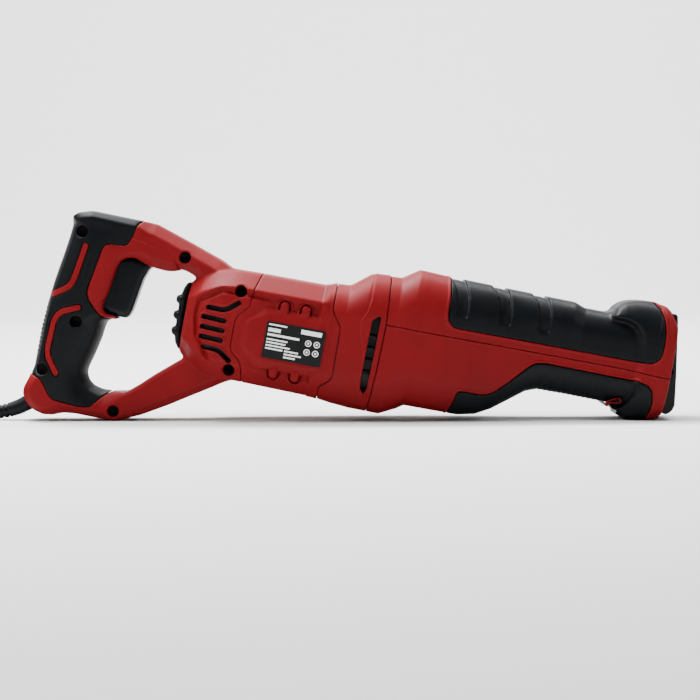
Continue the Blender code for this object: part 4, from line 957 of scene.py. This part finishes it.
def build_front(matrix, looks):
    boxes = {
        "upper": ((-24.5, -40.0, 15.5), (189.0, 40.0, 72.0)),
        "lower": ((-25.0, -40.0, -49.0), (189.0, 40.0, 20.0)),
    }
    boot_boxes = {
        "upper": ((18.0, -38.5, 23.5), (181.0, 38.5, 72.0)),
        "lower": ((31.0, -38.0, -39.0), (181.0, 38.0, 13.5)),
    }
    for name, (low, high) in boxes.items():
        upper = name == "upper"
        cover = field_piece(
            f"cover_{name}", matrix, low, high, lambda x, y, z: cover_field(x, y, z, upper)
        )
        clothe(cover, looks["red_plastic"], "red_plastic", "saw", f"front_cover_{name}")
        low, high = boot_boxes[name]
        boot = field_piece(
            f"soft_boot_{name}", matrix, low, high, lambda x, y, z: boot_field(x, y, z, upper)
        )
        clothe(boot, looks["black_rubber"], "black_rubber", "saw", f"boot_{name}")
    low, high = (143.6, -24.0, -13.0), (160.0, 24.0, 1.0)
    lever = field_piece("lock_lever", matrix, low, high, lever_field, 0.6)
    clothe(lever, looks["red_plastic"], "red_plastic", "lock_lever", "shoe_lock_lever")
    insert = field_piece("lever_insert", matrix, low, high, insert_field, 0.6)
    clothe(insert, looks["black_rubber"], "black_rubber", "lock_lever")
    low, high = (175.0, -19.0, -11.0), (198.5, 19.0, 66.5)
    shoe = field_piece("shoe", matrix, low, high, shoe_field, 0.45)
    clothe(shoe, looks["black_steel"], "black_steel", "shoe", "shoe_plate")


# ---------------------------------------------------------------- finishes

def material(name, colour, roughness, metallic=0.0, grain=(900.0, 0.05), shade=0.12, **more):
    """A finish with a fine grain, and a little unevenness in its roughness and its colour."""
    made = bpy.data.materials.new(name)
    made.use_nodes = True
    nodes, links = made.node_tree.nodes, made.node_tree.links
    shader = nodes["Principled BSDF"]
    place = nodes.new("ShaderNodeTexCoord").outputs["Object"]
    shader.inputs["Metallic"].default_value = metallic
    for socket, value in more.items():
        shader.inputs[socket.replace("_", " ")].default_value = value

    def noise(scale, detail, stretch=None):
        source = place
        if stretch:
            mapping = nodes.new("ShaderNodeMapping")
            mapping.inputs["Scale"].default_value = stretch
            links.new(place, mapping.inputs["Vector"])
            source = mapping.outputs["Vector"]
        texture = nodes.new("ShaderNodeTexNoise")
        texture.inputs["Scale"].default_value = scale
        texture.inputs["Detail"].default_value = detail
        links.new(source, texture.inputs["Vector"])
        return texture.outputs["Fac"]

    def between(fac, low, high):
        spread = nodes.new("ShaderNodeMapRange")
        spread.inputs["From Min"].default_value = 0.3
        spread.inputs["From Max"].default_value = 0.7
        spread.inputs["To Min"].default_value = low
        spread.inputs["To Max"].default_value = high
        links.new(fac, spread.inputs["Value"])
        return spread.outputs["Result"]

    patches = noise(60.0, 4.0)
    links.new(between(patches, roughness * 0.9, roughness * 1.12), shader.inputs["Roughness"])
    mix = nodes.new("ShaderNodeMix")
    mix.data_type = "RGBA"
    mix.inputs["A"].default_value = (*[c * (1.0 - shade) for c in colour], 1.0)
    mix.inputs["B"].default_value = (*colour, 1.0)
    links.new(between(patches, 0.0, 1.0), mix.inputs["Factor"])
    links.new(mix.outputs["Result"], shader.inputs["Base Color"])
    scale, height = grain
    bump = nodes.new("ShaderNodeBump")
    bump.inputs["Strength"].default_value = 0.5
    bump.inputs["Distance"].default_value = height * MM
    links.new(noise(scale, 2.0), bump.inputs["Height"])
    links.new(bump.outputs["Normal"], shader.inputs["Normal"])
    return made


def make_looks():
    return {
        "red_plastic": material(
            "red_plastic", RED, 0.52, grain=(1500.0, 0.06), Specular_IOR_Level=0.09
        ),
        "black_rubber": material(
            "black_rubber", (0.0018, 0.0027, 0.0037), 0.46, grain=(1900.0, 0.07), Specular_IOR_Level=0.11
        ),
        "black_plastic": material(
            "black_plastic", (0.0018, 0.0024, 0.0032), 0.38, Specular_IOR_Level=0.13
        ),
        "black_steel": material(
            "black_steel", (0.004, 0.0045, 0.005), 0.42, grain=(2600.0, 0.06), Specular_IOR_Level=0.16
        ),
        "steel": material("steel", (0.52, 0.52, 0.54), 0.3, 1.0, grain=(1200.0, 0.02)),
        "laminations": material("laminations", (0.2, 0.19, 0.19), 0.5, 0.9),
        "copper": material("copper", (0.72, 0.34, 0.17), 0.3, 1.0),
        "bronze": material("bronze", (0.5, 0.33, 0.14), 0.45, 1.0),
        "brass": material("brass", (0.72, 0.53, 0.22), 0.26, 1.0, grain=(1200.0, 0.015)),
        "aluminium": material("aluminium", (0.55, 0.56, 0.57), 0.5, 1.0, grain=(700.0, 0.12)),
        "carbon": material("carbon", (0.03, 0.03, 0.03), 0.7),
        "label": material(
            "label", (0.004, 0.0045, 0.005), 0.45, grain=(900.0, 0.01), Specular_IOR_Level=0.15
        ),
        # Near-black screw heads, made as dark as their deep bores look
        "near_black_screw": material("near_black_screw", (0.004, 0.004, 0.0045), 0.6, Specular_IOR_Level=0.08),
        "label_ink": material("label_ink", (0.85, 0.86, 0.86), 0.5, grain=(900.0, 0.01)),
    }


NODE_SLOTS = {
    "steel": ["motor_shaft", "rear_bearing", "front_bearing", "drive_gear", "crank_pin", "gear_spindle",
              "crank_yoke", "plunger_rod", "shoe_pin_left", "shoe_pin_right"],
    "laminations": ["armature_core", "stator"],
    "copper": ["commutator"],
    "black_plastic": ["cooling_fan", "clamp_collar", "lock_button", "switch_module", "cord_clamp"],
    "carbon": ["brush_left", "brush_right"],
    "aluminium": ["gearbox_frame"],
    "bronze": ["rod_bush_front", "rod_bush_rear"],
    "black_steel": ["blade_clamp", "shoe_bracket"],
    "label": ["noise_capacitor"],
    "brass": ["plug_pin_earth", "plug_pin_live", "plug_pin_neutral"],
}
EDGE = 0.3 * MM


def dress_nodes(frame, looks):
    """Finishes the CAD nodes that stay in sight, and softens their edges."""
    slots = {node: slot for slot, nodes in NODE_SLOTS.items() for node in nodes}
    # The screws take the near-black finish, as dark as their deep bores look
    for number in range(1, len(SCREWS) + 1):
        slots[f"handle_screw_{number}"] = "near_black_screw"
    for node, slot in slots.items():
        thing = frame["nodes"][node]
        thing.data.materials.clear()
        thing.data.materials.append(looks[slot])
        bevel = thing.modifiers.new("edge", "BEVEL")
        bevel.width = EDGE
        bevel.segments = 2
        bevel.limit_method = "ANGLE"
        bevel.angle_limit = math.radians(35.0)
        bevel.harden_normals = True


# ---------------------------------------------------------------- the lead

def eased(t):
    return 0.5 - 0.5 * math.cos(math.pi * min(1.0, max(0.0, t)))


def coil_moves():
    """The coil's steps as (turn, angle where it starts, column, layer), wound clockwise.

    Each step lasts 60 degrees. It starts early enough to be clear of the turn under it.
    """
    return [
        (1, -15.0, 1, 0),
        (2, -15.0, 2, 0),
        (3, 15.0, 2, 1),
        (4, 45.0, 1, 1),
        (5, 45.0, 0, 1),
        (6, 75.0, 0, 2),
        (7, 105.0, 1, 2),
        (8, 105.0, 2, 2),
        (9, 10.0, 2, 3),
    ]


def coil_points(start=COIL_START, end=-180.0, spacing=15.0, step_span=60.0):
    """The coil's centreline: nine turns in three columns and three layers."""
    moves = []
    for turn, angle, column, layer in coil_moves():
        moves.append((360.0 * turn - angle if turn < 9 else 360.0 * 8 - angle, column, layer))
    first, last = -start, -end + 360.0 * 8
    count = round((last - first) / spacing)
    points = []
    for k in range(1, count + 1):
        swept = first + (last - first) * k / count
        radius, height = COLUMNS[0], LAYERS[0]
        for at, column, layer in moves:
            share = eased((swept - at) / step_span)
            radius += (COLUMNS[column] - radius) * share
            height += (LAYERS[layer] - height) * share
        leave = eased((swept - (last - 122.0)) / 122.0)
        radius += (44.4 - radius) * leave
        angle = math.radians(-swept)
        points.append(
            (
                COIL_CENTRE[0] + radius * math.cos(angle),
                COIL_CENTRE[1] + radius * math.sin(angle),
                height,
            )
        )
    return points


def tail_points(corner=29.0, last_z=31.8):
    """From the coil's top, round a quarter turn into the plug."""
    centre_x = PLUG_CENTRE[0] - PLUG_SIZE[0] / 2 - 0.5
    centre_y = PLUG_CENTRE[1] - corner
    points = []
    for k in range(0, 6):
        angle = math.radians(180.0 - 18.0 * k)
        place = (centre_x + corner * math.cos(angle), centre_y + corner * math.sin(angle))
        points.append((*place, LAYERS[3] + (last_z - LAYERS[3]) * eased(k / 5)))
    return [*points, (centre_x + 6.0, PLUG_CENTRE[1], last_z)]


def build_cord(looks):
    """One curve for the whole lead, from inside its guard to inside the plug."""
    line = [(x, 0.0, z) for x, z in GUARD_ROUTE]
    line += [(x, y, LAYERS[0]) for x, y in LEAD_ROUTE]
    angle = math.radians(COIL_START)
    line.append(
        (
            COIL_CENTRE[0] + COLUMNS[0] * math.cos(angle),
            COIL_CENTRE[1] + COLUMNS[0] * math.sin(angle),
            LAYERS[0],
        )
    )
    line += coil_points()
    line += tail_points()
    curve = bpy.data.curves.new("mains_lead", "CURVE")
    curve.dimensions = "3D"
    curve.bevel_depth = CORD_RADIUS * MM
    curve.bevel_resolution = 4
    curve.resolution_u = 3
    curve.use_fill_caps = True
    spline = curve.splines.new("BEZIER")
    spline.bezier_points.add(len(line) - 1)
    for spot, place in zip(spline.bezier_points, line):
        spot.co = Vector(place) * MM
        spot.handle_left_type = spot.handle_right_type = "AUTO"
    lead = link("mains_lead", curve)
    clothe(lead, looks["black_rubber"], "black_rubber", "saw", "cord_lead", "cord_coil", "cord_tail")
    plug = build_plug(looks)
    guard = build_guard(looks)


def line_length(line):
    return sum((Vector(b) - Vector(a)).length for a, b in zip(line, line[1:])) * MM


def build_guard(looks):
    """A tapered rubber sleeve with ribs, over the cord where it leaves the handle."""
    route = [Vector((x, 0.0, z)) * MM for x, z in GUARD_ROUTE]
    line = smooth_line(route, 0.00045)
    bm = bmesh.new()
    rings = []
    total = line_length([v / MM for v in line])
    passed = 0.0
    for k, spot in enumerate(line):
        if k:
            passed += (spot - line[k - 1]).length
        along = passed / total
        way = (line[min(k + 1, len(line) - 1)] - line[max(k - 1, 0)]).normalized()
        across = way.cross(Vector((0, 1, 0))).normalized()
        radius = GUARD_RADII[0] + (GUARD_RADII[1] - GUARD_RADII[0]) * along
        if along > GUARD_RIBS_FROM:
            wave = max(0.0, math.sin(passed / GUARD_RIB_PITCH * 2 * math.pi))
            radius -= GUARD_RIB_DEPTH * wave**0.6
        ring = []
        for side in range(GUARD_SIDES):
            turn = 2 * math.pi * side / GUARD_SIDES
            offset = across * math.cos(turn) + Vector((0, 1, 0)) * math.sin(turn)
            ring.append(bm.verts.new(spot + offset * radius * MM))
        rings.append(ring)
    for first, second in zip(rings, rings[1:]):
        for side in range(GUARD_SIDES):
            after = (side + 1) % GUARD_SIDES
            bm.faces.new((first[side], first[after], second[after], second[side]))
    bm.faces.new(reversed(rings[0]))
    bm.faces.new(rings[-1])
    bmesh.ops.recalc_face_normals(bm, faces=bm.faces)
    mesh = bpy.data.meshes.new("guard_sleeve")
    bm.to_mesh(mesh)
    bm.free()
    mesh.shade_smooth()
    guard = link("guard_sleeve", mesh)
    return clothe(guard, looks["black_rubber"], "black_rubber", "saw", "cord_guard")


def smooth_line(points, step):
    """A Catmull-Rom curve through the points, read every step metres."""
    line = [2 * points[0] - points[1], *points, 2 * points[-1] - points[-2]]
    fine = []
    for a, b, c, d in zip(line, line[1:], line[2:], line[3:]):
        parts = max(2, math.ceil((c - b).length / step))
        for k in range(parts):
            t = k / parts
            place = 2 * b + (c - a) * t + (2 * a - 5 * b + 4 * c - d) * t**2
            place += (3 * b - a - 3 * c + d) * t**3
            fine.append(place / 2)
    return [*fine, points[-1]]


def plug_field(x, y, z):
    """The plug's body, lying on its back, with finger grooves and a rim round its face."""
    wide, deep, high = (size / 2 for size in PLUG_SIZE)
    slant = 9.0
    corners = [(-wide, -deep + slant), (-wide + slant, -deep), (wide, -deep), (wide, deep),
               (-wide + slant, deep), (-wide, deep - slant)]
    flat = polygon(x, y, corners)
    taper = 0.13 * np.clip(6.0 - z, 0.0, 6.0)
    body = smooth_max(flat + taper, np.abs(z - high) - high, 2.2)
    rim = np.maximum(np.abs(flat + 2.4) - 0.5, 2 * high - 0.7 - z)
    body = carve(body, rim, 0.4)
    for k in range(4):
        groove = np.hypot(x + 13.0 - 4.2 * k, np.abs(y) - deep - 0.9) - 1.9
        body = carve(body, groove, 0.6)
    hole = np.hypot(y, z - 9.0) - 3.6
    return carve(body, np.maximum(hole, x + wide - 8.0), 0.5)


def build_plug(looks):
    wide, deep, high = PLUG_SIZE
    shift = Vector((PLUG_CENTRE[0], PLUG_CENTRE[1], PLUG_BASE)) * MM
    matrix = Matrix.Translation(shift) @ Matrix.Scale(MM, 4)
    low, high = (-wide / 2 - 1.5, -deep / 2 - 1.5, -1.5), (wide / 2 + 1.5, deep / 2 + 1.5, high + 1.5)
    plug = field_piece("plug_body", matrix, low, high, plug_field, 0.4)
    return clothe(plug, looks["black_plastic"], "black_plastic", "saw", "mains_plug")


# ---------------------------------------------------------------- the label

def build_label(matrix, looks):
    """A thin plate with round corners, and neutral marks printed on it."""
    low, high, thick = LABEL
    back = -PANEL_FACE - 0.06
    plate = link("label_plate", rounded_plate(matrix, low, high, back, back - thick, 1.0))
    clothe(plate, looks["label"], "label", "saw", "rating_label")
    bm = bmesh.new()
    face = back - thick
    bars = [(-102.4, 3.6, 13.0, 1.1), (-79.0, 1.2, 15.0, 3.2), (-102.4, -3.9, 23.0, 1.6)]
    bars += [(-102.4, -7.0, 15.0, 1.1), (-102.4, -9.2, 14.0, 1.1), (-102.4, -11.4, 17.5, 1.1)]
    bars += [(-102.4, -13.6, 12.5, 1.1), (-88.5, -13.6, 10.0, 1.1), (-88.5, -15.8, 12.5, 1.1)]
    bars += [(-88.5, -18.0, 8.5, 1.1), (-102.4, -0.9, 9.0, 2.6)]
    for bar_x, bar_z, wide, high in bars:
        add_box(bm, (bar_x, face - 0.04, bar_z), (bar_x + wide, face + 0.2, bar_z + high))
    for ring_z in MARK_RING_Z:
        for ring_x in MARK_RING_X:
            add_ring(bm, (ring_x, face, ring_z), 2.3, 1.7)
            add_ring(bm, (ring_x, face, ring_z), 0.8, 0.0)
    bm.transform(matrix)
    bmesh.ops.recalc_face_normals(bm, faces=bm.faces)
    mesh = bpy.data.meshes.new("label_marks")
    bm.to_mesh(mesh)
    bm.free()
    marks = link("label_marks", mesh)
    clothe(marks, looks["label_ink"], "label", "saw")


def rounded_plate(matrix, low, high, y0, y1, radius):
    bm = bmesh.new()
    (x0, z0), (x1, z1) = low, high
    corners = [(x1 - radius, z1 - radius, 0), (x0 + radius, z1 - radius, 90)]
    corners += [(x0 + radius, z0 + radius, 180), (x1 - radius, z0 + radius, 270)]
    rings = []
    for y, inset in ((y0, 0.0), (y1 + 0.15, 0.0), (y1, 0.15)):
        ring = []
        for cx, cz, start in corners:
            for k in range(7):
                angle = math.radians(start + 15 * k)
                reach = radius - inset
                spot = (cx + reach * math.cos(angle), y, cz + reach * math.sin(angle))
                ring.append(bm.verts.new(spot))
        rings.append(ring)
    for first, second in zip(rings, rings[1:]):
        for k in range(len(first)):
            after = (k + 1) % len(first)
            bm.faces.new((first[k], first[after], second[after], second[k]))
    bm.faces.new(rings[0])
    bm.faces.new(rings[-1])
    bm.transform(matrix)
    bmesh.ops.recalc_face_normals(bm, faces=bm.faces)
    mesh = bpy.data.meshes.new("label_plate")
    bm.to_mesh(mesh)
    bm.free()
    return mesh


def add_box(bm, low, high):
    middle = (Vector(low) + Vector(high)) / 2
    size = Vector(high) - Vector(low)
    place = Matrix.Translation(middle) @ Matrix.Diagonal((*size, 1.0))
    bmesh.ops.create_cube(bm, size=1.0, matrix=place)


def add_ring(bm, centre, outer, inner, sides=24):
    """A flat printed ring, or a dot where inner is 0, facing -Y."""
    levels = (centre[1] - 0.04, centre[1] + 0.2)
    rings = []
    for radius in (outer, inner):
        for y in levels:
            ring = []
            for k in range(sides):
                angle = 2 * math.pi * k / sides
                spot = (centre[0] + radius * math.cos(angle), y, centre[2] + radius * math.sin(angle))
                ring.append(bm.verts.new(spot))
            rings.append(ring)
            if radius == 0.0:
                break
    outer_front, outer_back, inner_front = rings[:3]
    if inner == 0.0:
        bmesh.ops.delete(bm, geom=inner_front, context="VERTS")
        bm.faces.new(outer_front)
        bm.faces.new(outer_back)
        pairs = [(outer_front, outer_back)]
    else:
        inner_back = rings[3]
        pairs = [(outer_front, outer_back), (outer_front, inner_front)]
        pairs += [(inner_front, inner_back), (outer_back, inner_back)]
    for first, second in pairs:
        for k in range(sides):
            after = (k + 1) % sides
            bm.faces.new((first[k], first[after], second[after], second[k]))


# ---------------------------------------------------------------- the stage

def build_stage():
    """A pale floor that curves up behind the saw."""
    bm = bmesh.new()
    line = [(-3.0, 0.0), (2.2, 0.0)]
    for k in range(1, 13):
        angle = math.radians(7.5 * k)
        line.append((2.2 + 1.2 * math.sin(angle), 1.2 - 1.2 * math.cos(angle)))
    line.append((3.4, 4.0))
    rows = [[bm.verts.new((x, y, z)) for x in (-6.0, 6.0)] for y, z in line]
    for first, second in zip(rows, rows[1:]):
        bm.faces.new((first[0], first[1], second[1], second[0]))
    mesh = bpy.data.meshes.new("floor")
    bm.to_mesh(mesh)
    bm.free()
    mesh.shade_smooth()
    floor = link("floor", mesh)
    floor.data.materials.append(material("paper", (0.6, 0.6, 0.6), 0.9, grain=(40.0, 0.02), shade=0.02))


def area_light(name, place, aim, size, power):
    light = bpy.data.lights.new(name, "AREA")
    light.shape = "RECTANGLE"
    light.size, light.size_y = size
    light.energy = power
    made = link(name, light)
    made.location = place
    made.rotation_euler = (Vector(aim) - Vector(place)).to_track_quat("-Z", "Y").to_euler()
    return made


def build_lights():
    area_light("overhead", (-0.4, 0.1, 1.3), (0, 0, 0.05), (1.3, 0.35), 70.0)
    area_light("key", (-1.3, -0.5, 1.0), (-0.1, 0, 0.05), (0.4, 0.4), 11.0)
    area_light("rim", (1.25, -0.7, 0.9), (0.15, 0, 0.05), (0.4, 0.4), 7.0)
    area_light("backdrop", (0.0, 1.0, 2.6), (0, 3.0, 0.3), (4.0, 1.2), 480.0)
    world = bpy.context.scene.world or bpy.data.worlds.new("studio")
    bpy.context.scene.world = world
    world.use_nodes = True
    shader = world.node_tree.nodes["Background"]
    shader.inputs["Color"].default_value = (1.0, 1.0, 1.0, 1.0)
    shader.inputs["Strength"].default_value = 0.05


def build_camera():
    camera = bpy.data.cameras.new("camera")
    camera.sensor_width = 36.0
    camera.lens = LENS
    made = link("camera", camera)
    aim = Vector(CAMERA_AIM)
    elevation = math.radians(CAMERA_ELEVATION)
    away = Vector((0.0, -math.cos(elevation), math.sin(elevation)))
    made.location = aim + away * CAMERA_DISTANCE
    turn = (aim - made.location).to_track_quat("-Z", "Y").to_matrix().to_4x4()
    made.rotation_euler = (turn @ Matrix.Rotation(math.radians(CAMERA_ROLL), 4, "Z")).to_euler()
    bpy.context.scene.camera = made


def main():
    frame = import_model()
    matrix = tool_matrix(frame)
    looks = make_looks()
    build_camera()
    build_cord(looks)
    build_stage()
    build_lights()
    build_handle(matrix, looks)
    build_housings(matrix, looks)
    build_front(matrix, looks)
    build_label(matrix, looks)
    dress_nodes(frame, looks)


main()
